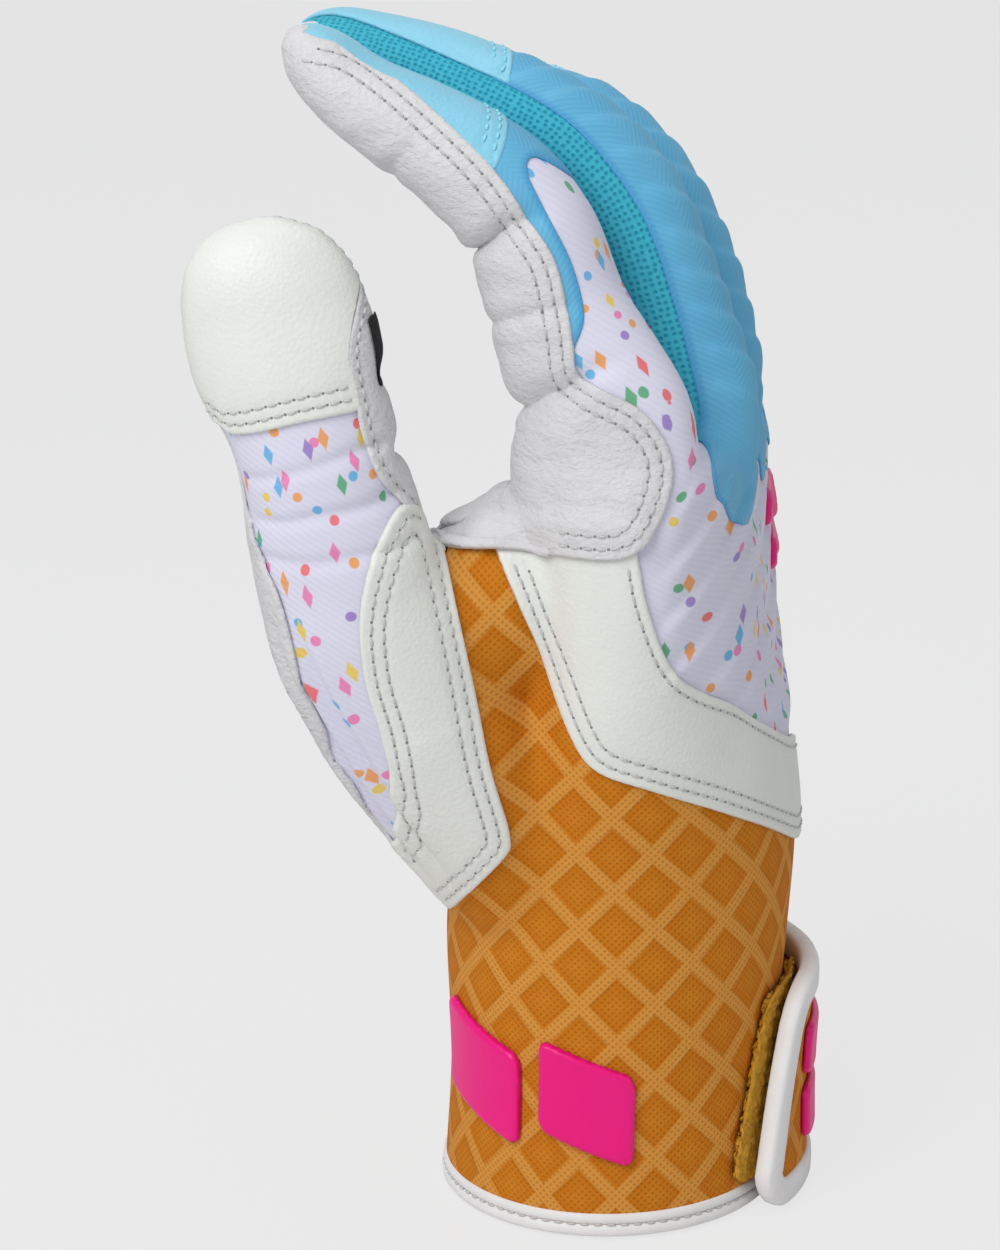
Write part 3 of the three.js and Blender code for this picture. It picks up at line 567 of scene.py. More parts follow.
# places without the wrinkles, so that the pleats beside these two don't bend their borders
crescent, left_strip = [inside_outline(outline, plain_picture) for outline in (CRESCENT, LEFT_STRIP)]
print("outlines: 8, one pixel is", PIXEL, "mm")

# %% Lines that go on round the back, by angle and height
PALM_WAIST = 55.5
ROUND_MM = math.radians(1) * 31
# what a field holds where a panel is not, or where nothing bounds it
OUTSIDE, FAR_OUT, NO_LIMIT = -6.0, -9.0, 9.0
FACING_MM = 14  # millimetres of skin, roughly, over which the facing changes by 1


def blended(front, behind):
    """A front-view distance where the surface shows, another one behind the edge of sight."""
    return seen * front + (1 - seen) * behind


def least(*fields):
    """The smallest of several distances, so the panel that lies inside all of them."""
    return np.minimum.reduce(np.broadcast_arrays(*fields))


def near(field):
    """A distance that stays the same beyond a few millimetres from the border."""
    return np.clip(field, OUTSIDE, -OUTSIDE)


waist = np.where(np.abs(turn) < 104, (OVERLAY_LOW(turn) + OVERLAY_HIGH(turn)) / 2, PALM_WAIST)
waist = waist + (PALM_WAIST - waist) * ease(np.abs(turn), 96, 120)
overlay_behind = least(height - OVERLAY_LOW(turn), OVERLAY_HIGH(turn) - height,
                       (102 - np.abs(turn)) * ROUND_MM)
print("waist:", round(float(waist.min()), 1), "to", round(float(waist.max()), 1), "mm above the hem")

# %% [markdown]
# ## Cutting a panel out of the form
# A panel is cut like cloth: the form is copied, every edge that crosses the chalk line is split there,
# the new points are joined across the faces, and what lies outside is thrown away. More level lines
# just inside the border give the loops that round its edge and carry the stitches. Last the panel is
# lifted off the form, so that an upper layer lies on a lower one, and gets its wall from a Solidify
# modifier.

# %% Cut along a level


def cut_level(bm, key, level, drop):
    """Splits the faces along key = level, and drops the lower side."""
    for vert in bm.verts:
        if abs(vert[key] - level) < 1e-3:
            vert[key] = level + 1e-3
    crossing = []
    for edge in bm.edges:
        a, b = edge.verts[0][key] - level, edge.verts[1][key] - level
        if a * b < 0:
            crossing.append((edge, a / (a - b)))
    fresh = []
    for edge, share in crossing:
        _, vert = bmesh.utils.edge_split(edge, edge.verts[0], share)
        vert[key] = level
        fresh.append(vert)
    bmesh.ops.connect_verts(bm, verts=fresh)
    if drop:
        low = [f for f in bm.faces if sum(v[key] - level for v in f.verts) < 0]
        bmesh.ops.delete(bm, geom=low, context="FACES")


# %% Turn a finished mesh into a piece


def link(name, mesh, material):
    made = bpy.data.objects.new(name, mesh)
    bpy.context.scene.collection.objects.link(made)
    mesh.materials.append(material)
    return made


def store(mesh, name, values, kind="FLOAT_VECTOR"):
    layer = mesh.attributes.new(name, kind, "POINT")
    word = "vector" if kind == "FLOAT_VECTOR" else "value"
    layer.data.foreach_set(word, values.astype(np.float32).ravel())


def as_piece(bm, name, material):
    """An object in metres that keeps every point's place on the form as rest."""
    rest = coordinates(bm)
    for face in bm.faces:
        face.smooth = True
    bmesh.ops.scale(bm, vec=(MM, MM, MM), verts=bm.verts)
    mesh = bpy.data.meshes.new(name)
    bm.to_mesh(mesh)
    bm.free()
    store(mesh, "rest", rest)
    return link(name, mesh, material)


# %% Cut a panel, lift it, round its edge and give it a wall
VALLEY_DEPTH, VALLEY_WIDTH = 0.18, 0.6  # how a seam draws the panel in
FOLD_ROUNDS = 6


def cut_panel(name, inside, material, lift=0.0, wall=1.2, rounding=0.4, rows=(), chart=None, sewn=None):
    """One panel and its seam lines: inside is the signed distance to its border at every point."""
    sewn = sewn if isinstance(sewn, tuple) else [sewn] * len(rows)
    sewn = [np.asarray(where, float) for where in sewn]
    touched = corners[inside[corners].max(1) > 0]
    used, local = np.unique(touched, return_inverse=True)
    patch = bpy.data.meshes.new(name + "_patch")
    patch.from_pydata(points[used], [], local.reshape(-1, 4))
    bm = bmesh.new()
    bm.from_mesh(patch)
    bpy.data.meshes.remove(patch)
    floats = bm.verts.layers.float
    vectors = bm.verts.layers.float_vector
    key = floats.new("inside")
    way = vectors.new("way")
    raise_by = floats.new("lift")
    flat = vectors.new("chart")
    sewn_keys = [floats.new("sewn_%d" % i) for i in range(len(rows))]
    heights = np.broadcast_to(lift, len(points))
    for i, vert in zip(used, bm.verts):
        vert[key] = inside[i]
        vert[way] = Vector(normals[i])
        vert[raise_by] = heights[i]
        vert[flat] = Vector(chart[i]) if chart is not None else vert.co
        for row_key, where in zip(sewn_keys, sewn):
            vert[row_key] = where[i]
    cut_level(bm, key, 0.0, True)
    for level in (0.35 * rounding, rounding, *rows):
        cut_level(bm, key, level, False)
    loose = [v for v in bm.verts if not v.link_faces]
    bmesh.ops.delete(bm, geom=loose, context="VERTS")
    for vert in bm.verts:
        short = max(rounding - vert[key], 0)
        fall = rounding - math.sqrt(max(rounding * rounding - short * short, 0))
        valley = sum(VALLEY_DEPTH * vert[row_key] * math.exp(-(((vert[key] - row) / VALLEY_WIDTH) ** 2))
                     for row, row_key in zip(rows, sewn_keys))
        vert.co += vert[way].normalized() * (vert[raise_by] - fall - valley)
    for _ in range(FOLD_ROUNDS):
        bm.normal_update()
        folded = [f for f in bm.faces if f.normal.dot(f.verts[0][way]) < 0.1]
        smooth(bm, list(dict.fromkeys(v for f in folded for v in f.verts)), 1)
    bm.normal_update()
    lines = {row: seam_lines(bm, key, row_key, row) for row, row_key in zip(rows, sewn_keys)}
    border = np.array([v[key] for v in bm.verts])
    charts = np.array([v[flat] for v in bm.verts])
    for layers in (floats, vectors):
        while layers:
            layers.remove(layers[0])
    made = as_piece(bm, name, material)
    store(made.data, "chart", charts)
    store(made.data, "border", border, "FLOAT")
    shell = made.modifiers.new("wall", "SOLIDIFY")
    shell.thickness = wall * MM
    shell.offset = -1
    print(name, len(made.data.polygons), "faces", {row: len(found) for row, found in lines.items()})
    return made, [line for found in lines.values() for line in found]


# %% Seam lines: chains of edges that lie on one level


def seam_lines(bm, key, sewn, level):
    """Chains of (place, normal) along a level line, where the panel is sewn."""
    on = {v for v in bm.verts if abs(v[key] - level) < 1e-5 and v[sewn] > 0.5}
    links = {v: [] for v in on}
    for edge in bm.edges:
        a, b = edge.verts
        if a in on and b in on:
            links[a].append(b)
            links[b].append(a)
    chains = []
    left = set(on)
    starts = [v for v in on if len(links[v]) == 1]
    for first in sorted(starts, key=lambda v: v.index) + sorted(on, key=lambda v: v.index):
        if first not in left:
            continue
        chain = [first]
        left.discard(first)
        while True:
            onward = [v for v in links[chain[-1]] if v in left]
            if not onward:
                break
            chain.append(onward[0])
            left.discard(onward[0])
        chains.append([np.array([[*v.co, *v.normal] for v in chain]), True])
    return [(rows[:, :3], rows[:, 3:]) for rows in joined(chains) if len(rows) > 4]


def joined(chains, reach=2.5):
    """Chains whose ends lie close together become one."""
    for k in range(len(chains)):
        while chains[k][1]:
            best = None
            first = chains[k][0]
            for j, (other, alive) in enumerate(chains):
                if j == k or not alive:
                    continue
                for a in (0, -1):
                    for b in (0, -1):
                        gap = np.linalg.norm(first[a, :3] - other[b, :3])
                        if gap < reach and (best is None or gap < best[0]):
                            best = (gap, j, a, b)
            if best is None:
                break
            _, j, a, b = best
            other = chains[j][0]
            head = first if a == -1 else first[::-1]
            chains[k][0] = np.concatenate([head, other if b == 0 else other[::-1]])
            chains[j][1] = False
    return [rows for rows, alive in chains if alive]


print("tools for cutting are ready")

# %% [markdown]
# ## Finishes
# Each finish reads the place that a point had on the form, in millimetres, from the attribute named
# rest, so that grain stays on the cloth when a finger bends. Prints and weaves read the flat pattern
# of their panel from the attribute named chart in the same way. One function turns a written
# colour into light values and one adds a node with its settings and links.

# %% Helpers for materials


def colour(text):
    """An sRGB hex value as linear light."""
    parts = [int(text[i:i + 2], 16) / 255 for i in (1, 3, 5)]
    return tuple(c / 12.92 if c <= 0.04045 else ((c + 0.055) / 1.055) ** 2.4 for c in parts) + (1.0,)


def add_node(tree, kind, links=None, **settings):
    """A shader node with its settings, and its inputs as values or links."""
    made = tree.nodes.new("ShaderNode" + kind)
    for key, value in settings.items():
        setattr(made, key, value)
    for socket, value in (links or {}).items():
        if isinstance(value, bpy.types.NodeSocket):
            tree.links.new(value, made.inputs[socket])
        else:
            made.inputs[socket].default_value = value
    return made


def new_material(name, roughness, specular=0.5, sheen=0.0):
    material = bpy.data.materials.new(name)
    material.use_nodes = True
    tree = material.node_tree
    shader = tree.nodes["Principled BSDF"]
    shader.inputs["Roughness"].default_value = roughness
    shader.inputs["Specular IOR Level"].default_value = specular
    shader.inputs["Sheen Weight"].default_value = sheen
    shader.inputs["Sheen Roughness"].default_value = 0.5
    return material, tree, shader


def mixed(tree, share, low, high):
    """The colour between two, by a share."""
    return add_node(tree, "Mix", {0: share, 6: low, 7: high}, data_type="RGBA").outputs[2]


def worked(tree, operation, *values):
    """One step of arithmetic."""
    return add_node(tree, "Math", dict(enumerate(values)), operation=operation).outputs[0]


def place_of(tree, name="rest"):
    return add_node(tree, "Attribute", attribute_name=name).outputs["Vector"]


def raised(tree, shader, height, depth_mm):
    """Relief on the surface: height from 0 to 1 over a depth."""
    made = add_node(tree, "Bump", {"Height": height, "Strength": 1.0, "Distance": depth_mm * MM})
    tree.links.new(made.outputs["Normal"], shader.inputs["Normal"])


# %% Goat leather: tanned and drummed, so it has a soft pebble grain and fine wrinkles


def goat_leather():
    material, tree, shader = new_material("goat_leather", 0.5, 0.35)
    rest = place_of(tree)
    drawn = add_node(tree, "Mapping", {"Vector": rest, "Rotation": (0.3, 0.5, 0), "Scale": (1, 1, 1.9)})
    drawn = drawn.outputs[0]
    grain = add_node(tree, "TexVoronoi", {"Vector": rest, "Scale": 1 / 0.8}, feature="SMOOTH_F1")
    wrinkles = []
    for size, width, share in ((9.0, 0.02, 1.0), (4.0, 0.03, 0.7)):
        wave = add_node(tree, "TexNoise", {"Vector": drawn, "Scale": 1 / size, "Detail": 3.0,
                                           "Roughness": 0.55, "Distortion": 0.7})
        away = worked(tree, "ABSOLUTE", worked(tree, "SUBTRACT", wave.outputs["Fac"], 0.5))
        line = add_node(tree, "MapRange", {"Value": away, "From Min": 0.0, "From Max": width,
                                           "To Min": share, "To Max": 0.0})
        wrinkles.append(line.outputs[0])
    fold = worked(tree, "MAXIMUM", *wrinkles)
    crumple = add_node(tree, "TexNoise", {"Vector": drawn, "Scale": 1 / 2.8, "Detail": 5.0,
                                          "Roughness": 0.62})
    shade = add_node(tree, "TexNoise", {"Vector": rest, "Scale": 1 / 14.0, "Detail": 2.0})
    body = mixed(tree, shade.outputs["Fac"], colour("#d3d2d4"), colour("#dfdedf"))
    # painted shade: the wrinkle lines are tinted a little towards grey, standing in for the shade that falls
    # in the creases
    body = mixed(tree, worked(tree, "MULTIPLY", fold, 0.04), body, colour("#a9a8ad"))
    tree.links.new(body, shader.inputs["Base Color"])
    pebbles = worked(tree, "MULTIPLY", grain.outputs["Distance"], -0.6)
    relief = worked(tree, "MULTIPLY_ADD", fold, -0.16, pebbles)
    relief = worked(tree, "MULTIPLY_ADD", crumple.outputs["Fac"], 2.4, relief)
    raised(tree, shader, relief, 0.24)
    return material


# %% Leatherette: a coated cloth, smooth and even, with a shallow embossed grain


def leatherette(name, low, high, roughness):
    material, tree, shader = new_material(name, roughness, 0.4)
    rest = place_of(tree)
    grain = add_node(tree, "TexVoronoi", {"Vector": rest, "Scale": 1 / 0.7})
    slow = add_node(tree, "TexNoise", {"Vector": rest, "Scale": 1 / 16.0, "Detail": 2.0})
    tree.links.new(mixed(tree, slow.outputs["Fac"], colour(low), colour(high)), shader.inputs["Base Color"])
    relief = worked(tree, "MULTIPLY_ADD", slow.outputs["Fac"], 1.5, grain.outputs["Distance"])
    raised(tree, shader, relief, 0.07)
    return material


# %% Stretch knit with printed confetti: matt, with fine ribs and soft-edged dots and lozenges
WAVE = 0.314  # a wave texture of this scale repeats once in a millimetre
RIB_PITCH = 0.9  # a real stretch knit has ribs near 0.4 mm, drawn coarser so that they show
CONFETTI = ["#ef7fb6", "#ef6a6a", "#f2a04a", "#efce4d", "#55ad78", "#5fb4e4", "#9d7fca"]


def confetti_layer(tree, chart, body, cell, reach, metric, stretch):
    """Chips of colour round the random points of a flat pattern."""
    moved = add_node(tree, "Mapping", {"Vector": chart, "Scale": stretch})
    cells = add_node(tree, "TexVoronoi", {"Vector": moved.outputs[0], "Scale": 1 / cell},
                     distance=metric, voronoi_dimensions="2D")
    picked = add_node(tree, "SeparateColor", {"Color": cells.outputs["Color"]})
    ramp = add_node(tree, "ValToRGB", {"Fac": picked.outputs[0]})
    ramp.color_ramp.interpolation = "CONSTANT"
    stops = ramp.color_ramp.elements
    while len(stops) < len(CONFETTI):
        stops.new(0.5)
    for i, text in enumerate(CONFETTI):
        stops[i].position = i / len(CONFETTI)
        stops[i].color = colour(text)
    chip = add_node(tree, "MapRange", {
        "Value": cells.outputs["Distance"], "From Min": reach * 0.8, "From Max": reach,
        "To Min": 0.92, "To Max": 0.0})
    return mixed(tree, chip.outputs[0], body, ramp.outputs["Color"])


def confetti_knit():
    material, tree, shader = new_material("confetti_stretch_knit", 0.72, 0.25, 0.08)
    rest = place_of(tree)
    chart = place_of(tree, "chart")
    slow = add_node(tree, "TexNoise", {"Vector": rest, "Scale": 1 / 20.0, "Detail": 1.0})
    body = mixed(tree, slow.outputs["Fac"], colour("#d9d8ea"), colour("#e6e5f4"))
    body = confetti_layer(tree, chart, body, 6.5, 0.13, "EUCLIDEAN", (1, 1, 1))
    body = confetti_layer(tree, chart, body, 5.6, 0.17, "MANHATTAN", (1.0, 0.5, 1))
    slanted = add_node(tree, "Mapping", {"Vector": rest, "Rotation": (0, math.radians(-32), 0)})
    ribs = add_node(tree, "TexWave", {"Vector": slanted.outputs[0], "Scale": WAVE / RIB_PITCH,
                                      "Distortion": 0.5, "Detail": 1.0, "Detail Scale": 0.3},
                    bands_direction="Z")
    shadow = worked(tree, "MULTIPLY", ribs.outputs["Fac"], 0.07)
    tree.links.new(mixed(tree, shadow, body, colour("#a9a6c8")), shader.inputs["Base Color"])
    raised(tree, shader, ribs.outputs["Fac"], 0.04)
    return material


# %% Stretch twill in plain blue: diagonal ribs, darker where the dye ends at a seam
TWILL_PITCH = 0.95  # real twill lines are near 0.5 mm, drawn coarser so that they show
HERRINGBONE = 5.0


def blue_twill():
    material, tree, shader = new_material("blue_stretch_twill", 0.6, 0.3, 0.05)
    rest = place_of(tree)
    slow = add_node(tree, "TexNoise", {"Vector": rest, "Scale": 1 / 14.0, "Detail": 2.0})
    body = mixed(tree, slow.outputs["Fac"], colour("#52a8d2"), colour("#68b7dc"))
    border = add_node(tree, "Attribute", attribute_name="border").outputs["Fac"]
    dyed = add_node(tree, "MapRange", {"Value": border, "From Min": 0.5, "From Max": 1.4,
                                       "To Min": 0.7, "To Max": 0.0})
    body = mixed(tree, dyed.outputs[0], body, colour("#3c97cc"))
    parts = add_node(tree, "SeparateXYZ", {"Vector": place_of(tree, "chart")})
    zigzag = worked(tree, "PINGPONG", parts.outputs[0], HERRINGBONE)
    slope = worked(tree, "MULTIPLY_ADD", zigzag, 0.75, parts.outputs[1])
    ribs = worked(tree, "PINGPONG", slope, TWILL_PITCH / 2)
    ribs = worked(tree, "DIVIDE", ribs, TWILL_PITCH / 2)
    light = worked(tree, "MULTIPLY", ribs, 0.09)
    tree.links.new(mixed(tree, light, body, colour("#a6d9ee")), shader.inputs["Base Color"])
    raised(tree, shader, ribs, 0.04)
    return material


# %% Spacer mesh: open knit, so rows of small holes between bright yarns, the holes' darkness painted shade
MESH_PITCH = 1.0  # the real spacing of the holes


def spacer_mesh():
    material, tree, shader = new_material("turquoise_spacer_mesh", 0.7, 0.3, 0.02)
    chart = place_of(tree, "chart")
    holes = add_node(tree, "TexVoronoi", {"Vector": chart, "Scale": 1 / MESH_PITCH, "Randomness": 0.3},
                     voronoi_dimensions="2D")
    pit = add_node(tree, "MapRange", {"Value": holes.outputs["Distance"], "From Min": 0.12,
                                      "From Max": 0.4, "To Min": 1.0, "To Max": 0.0})
    yarn = add_node(tree, "TexNoise", {"Vector": chart, "Scale": 1 / 0.8, "Detail": 2.0})
    body = mixed(tree, yarn.outputs["Fac"], colour("#2aa8c0"), colour("#4cbdd2"))
    # painted shade: the open holes are coloured dark teal, standing in for the shade that lies inside them
    tree.links.new(mixed(tree, pit.outputs[0], body, colour("#1593b0")), shader.inputs["Base Color"])
    raised(tree, shader, worked(tree, "SUBTRACT", 1.0, pit.outputs[0]), 0.16)
    return material


# %% Amber knit: a canvas weave with a plain lattice of lozenges in three tones of amber
LOZENGE = (12.2, 13.4)
YARN_PITCH = 0.85  # near the real yarn spacing of a canvas knit


def amber_knit():
    material, tree, shader = new_material("amber_lattice_knit", 0.8, 0.12, 0.0)
    chart = place_of(tree, "chart")
    parts = add_node(tree, "SeparateXYZ", {"Vector": chart})
    u = worked(tree, "DIVIDE", parts.outputs[0], LOZENGE[0])
    v = worked(tree, "DIVIDE", parts.outputs[1], LOZENGE[1])
    saws = [worked(tree, "PINGPONG", worked(tree, way, u, v), 0.5) for way in ("ADD", "SUBTRACT")]
    off_line = worked(tree, "MINIMUM", *saws)
    line = add_node(tree, "MapRange", {"Value": off_line, "From Min": 0.10, "From Max": 0.15,
                                       "To Min": 1.0, "To Max": 0.0}).outputs[0]
    heart = add_node(tree, "MapRange", {"Value": off_line, "From Min": 0.16, "From Max": 0.42}).outputs[0]
    slow = add_node(tree, "TexNoise", {"Vector": chart, "Scale": 1 / 18.0, "Detail": 3.0})
    ground = mixed(tree, slow.outputs["Fac"], colour("#c67012"), colour("#d2801a"))
    ground = mixed(tree, worked(tree, "MULTIPLY", heart, 0.5), ground, colour("#da8c28"))
    body = mixed(tree, worked(tree, "MULTIPLY", line, 0.8), ground, colour("#e2a04a"))
    slant = add_node(tree, "Mapping", {"Vector": chart, "Rotation": (0, 0, math.radians(45))})
    yarns = [add_node(tree, "TexWave", {"Vector": slant.outputs[0], "Scale": WAVE / YARN_PITCH},
                      bands_direction=way).outputs["Fac"] for way in "XY"]
    weave = worked(tree, "MAXIMUM", *yarns)
    # painted shade: the gaps between the yarns are tinted dark brown, standing in for the shade that falls
    # between them
    dark = worked(tree, "MULTIPLY", worked(tree, "SUBTRACT", 1.0, weave), 0.4)
    tree.links.new(mixed(tree, dark, body, colour("#8f4a06")), shader.inputs["Base Color"])
    relief = worked(tree, "MULTIPLY_ADD", line, 0.6, worked(tree, "MULTIPLY", weave, 0.5))
    raised(tree, shader, relief, 0.22)
    return material


# %% Plain finishes: binding tape, moulded rubber, piles, thread and the bare label


def plain_cloth(name, low, high, grain_mm, relief_mm, roughness, sheen=0.2):
    material, tree, shader = new_material(name, roughness, 0.3, sheen)
    rest = place_of(tree)
    slow = add_node(tree, "TexNoise", {"Vector": rest, "Scale": 1 / (6 * grain_mm), "Detail": 3.0})
    fine = add_node(tree, "TexNoise", {"Vector": rest, "Scale": 1 / grain_mm, "Detail": 2.0})
    tree.links.new(mixed(tree, slow.outputs["Fac"], colour(low), colour(high)), shader.inputs["Base Color"])
    raised(tree, shader, fine.outputs["Fac"], relief_mm)
    return material


LEATHER = goat_leather()
OFFWHITE = leatherette("offwhite_leatherette", "#dfe1da", "#eceee8", 0.45)
PALE_BLUE = leatherette("pale_blue_leatherette", "#7cc6e0", "#93d4ea", 0.4)
LYCRA = confetti_knit()
TWILL = blue_twill()
SPACER = spacer_mesh()
AMBER = amber_knit()
TAPE = plain_cloth("white_binding_tape", "#e6e6e6", "#f3f3f2", 0.9, 0.06, 0.55)
ELASTIC = plain_cloth("white_elastic", "#d9d9da", "#ececec", 0.8, 0.15, 0.7)
RUBBER = plain_cloth("pink_moulded_rubber", "#ee067c", "#f60e88", 2.5, 0.03, 0.34, 0.0)
LOOPS = plain_cloth("golden_loop_pile", "#a8740f", "#efb43c", 0.22, 0.3, 0.85, 0.0)
HOOKS = plain_cloth("black_hook_pile", "#131315", "#26262a", 0.8, 0.25, 0.6)
LABEL = plain_cloth("black_woven_label", "#060607", "#0d0d0f", 0.5, 0.05, 0.6, 0.0)
THREAD = plain_cloth("grey_thread", "#b9b9b7", "#d2d2d0", 0.4, 0.05, 0.6)
# painted shade: needle holes are small dark grey discs that stand in for the shade inside each hole
HOLE_SHADE = plain_cloth("needle_hole", "#7d7d80", "#949496", 0.5, 0.02, 0.9)
BLUE_THREAD = plain_cloth("blue_thread", "#7fd0e6", "#a5e2f0", 0.4, 0.05, 0.6)
print("finishes:", len(bpy.data.materials))

# %% [markdown]
# ## Stitches
# A seam shows as a row of short thread lengths with a needle hole at each end. A stitch is a small
# ball drawn out along the seam, and a hole a smaller dark one between two stitches, its dark colour
# painted shade where the needle went through. They are set along the level lines of the panel at the
# stitch length of such a glove.

# %% Rows of stitches along seam lines
STITCH = 2.2
THREAD_HALF = 0.27
THREAD_SIZE = (0.36 * STITCH, THREAD_HALF, THREAD_HALF)
HOLE_SIZE = (0.3, 0.3, 0.14)


def ball(bm, centre, along, normal, size, index):
    made = bmesh.ops.create_uvsphere(bm, u_segments=7, v_segments=5, radius=1)["verts"]
    side = np.cross(normal, along)
    frame_of = np.column_stack([along * size[0], side * size[1], normal * size[2]])
    for vert in made:
        vert.co = Vector(centre + frame_of @ np.array(vert.co))
    for face in {f for v in made for f in v.link_faces}:
        face.material_index = index


def sew(name, lines, thread, holes=True):
    """Stitches along lines as one piece."""
    bm = bmesh.new()
    count = 0
    for places, ways in lines:
        run = np.concatenate([[0], np.cumsum(np.linalg.norm(np.diff(places, axis=0), axis=1))])
        if min(run[-1], 1.4 * np.ptp(places, axis=0).max()) < 4 * STITCH:
            continue
        spots = np.linspace(0, run[-1], max(2, round(run[-1] / (STITCH / 2))) + 1)
        at = np.column_stack([np.interp(spots, run, places[:, k]) for k in range(3)])
        way = unit(np.column_stack([np.interp(spots, run, ways[:, k]) for k in range(3)]))
        at[1:-1] = (at[:-2] + 2 * at[1:-1] + at[2:]) / 4
        for i in range(1, len(spots) - 1):
            along = unit(at[i + 1] - at[i - 1])
            normal = unit(way[i] - along * (way[i] @ along))
            if i % 2:
                ball(bm, at[i] + 0.1 * normal, along, normal, THREAD_SIZE, 0)
                count += 1
            # painted shade: each needle hole is a small dark disc between two stitches
            elif holes:
                ball(bm, at[i] - 0.02 * normal, along, normal, HOLE_SIZE, 1)
    made = as_piece(bm, name, thread)
    made.data.materials.append(HOLE_SHADE)
    print(name, count, "stitches")
    return made


# %% [markdown]
# ## How pieces move
# Cloth that crosses a knuckle bends there: it follows the hand below the finger's root and the finger
# a little above it. Every panel is then made in the same way: it is cut, the solids of the frame that it
# replaces are hidden, it is set to move, and it is sewn down with stitches that move as it does.

# %% Bodies and bends
BEND = 12.0
THUMB_BEND = float(thumb.length) - 46
thumb_low, thumb_high = [tuple(thumb.line(THUMB_BEND + step)[0] * MM) for step in (-5.5, 5.5)]


def on_finger(piece, name):
    x, y, _ = fingers[name].line(0.0)[0] * MM
    start = (x, y, FINGER_ROOT * MM)
    end = (x, y, (FINGER_ROOT + BEND) * MM)
    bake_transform(piece, "hand", name + "_finger", start=start, end=end)


def on_thumb_body(piece):
    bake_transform(piece, "hand", "thumb", start=thumb_low, end=thumb_high)


def on_hand(piece):
    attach(piece, "hand")


def stands_for(piece, slot, *nodes):
    if nodes:
        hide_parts(*nodes)


def panel(name, inside, material, slot, nodes, move, seam=None, thread=THREAD, holes=True, **cut):
    """Cuts a panel, hides the solids of the frame that it replaces, sets how it moves and sews it."""
    piece, lines = cut_panel(name, inside, material, **cut)
    stands_for(piece, slot, *nodes)
    move(piece)
    if seam:
        stitches = sew(seam, lines, thread, holes)
        stands_for(stitches, slot)
        move(stitches)


print("bends:", len(fingers), "fingers and a thumb")

# %% [markdown]
# ## The cuff
# The cuff is a padded knit sleeve with a wedge that rises between two overlays up to the web. Its
# lattice is drawn by the arc round the wrist and the height, so it runs true round the curve.

# %% A rounded outline for the slit and the badges


def rounded_bar(across, up, half_across, half_up, corner):
    """Signed distance to a rectangle with round corners, positive inside."""
    a = np.abs(across) - half_across + corner
    b = np.abs(up) - half_up + corner
    return corner - np.hypot(np.maximum(a, 0), np.maximum(b, 0)) - np.minimum(np.maximum(a, b), 0)


SLIT_TURN, SLIT_HALF = 61, 7.5
slit_low, slit_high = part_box("slit_gusset")
slit = rounded_bar((turn - SLIT_TURN) * ROUND_MM, height - 500 * (slit_low[2] + slit_high[2]),
                   SLIT_HALF * ROUND_MM, 500 * (slit_high[2] - slit_low[2]), 2.0)
print("slit:", round(1000 * (slit_high[2] - slit_low[2]), 1), "mm high")

# %% The flat pattern of the cuff: arc from the wedge's middle, and height


def flat_chart(across, up):
    """A flat pattern for weave and print, in millimetres."""
    return np.column_stack([across, up, np.zeros_like(across)])


WEDGE = -88
ARC_LEVELS = np.array([0, 30, 60, 90, 130])
ring = np.linspace(-180, 180, 361)
arcs = []
for level in ARC_LEVELS:
    steps = np.linalg.norm(np.diff(hand_surface(ring, level), axis=0), axis=1)
    run = np.concatenate([[0], np.cumsum(steps)])
    run_here = np.interp(turn, ring, run) - np.interp(WEDGE, ring, run)
    arcs.append([run_here, np.where(turn > SLIT_TURN, run_here - run[-1], run_here)])
arcs = np.array(arcs)
step = np.clip(np.searchsorted(ARC_LEVELS, height) - 1, 0, len(ARC_LEVELS) - 2)
share = np.clip((height - ARC_LEVELS[step]) / (ARC_LEVELS[step + 1] - ARC_LEVELS[step]), 0, 1)
each = np.arange(len(points))
from_wedge = np.degrees(np.arctan2(points @ ACROSS, points @ BACK)) - WEDGE
from_wedge = (from_wedge + 180) % 360 - 180
swung = np.radians(from_wedge) * np.hypot(points[:, 0], points[:, 1])
behind = ease(np.abs(from_wedge), 55, 95)
charts = []
for k in (0, 1):
    arc = arcs[step, k, each] * (1 - share) + arcs[step + 1, k, each] * share
    charts.append(flat_chart(swung + (arc - swung) * behind, height))
wrist_chart, cuff_chart = charts
print("wrist:", round(float(run[-1]), 1), "mm round at the knuckles")

# %% Cut the cuff
cuff_inside = blended(least(-thumb_side, -back_side, 5 - leather), waist + 2.5 - height)
cuff_inside = least(cuff_inside, height - 1.6, 1.0 - slit)
panel("cuff", cuff_inside, AMBER, "amber_knit", ["cuff_sleeve"], on_hand, wall=2.0, chart=cuff_chart)

# %% [markdown]
# ## The back of the hand and of the index finger
# One stretch knit panel covers the back and runs up the index finger without a seam, so it is one
# piece that bends at the index knuckle. Plain blue twill lies over it towards the fingertips.

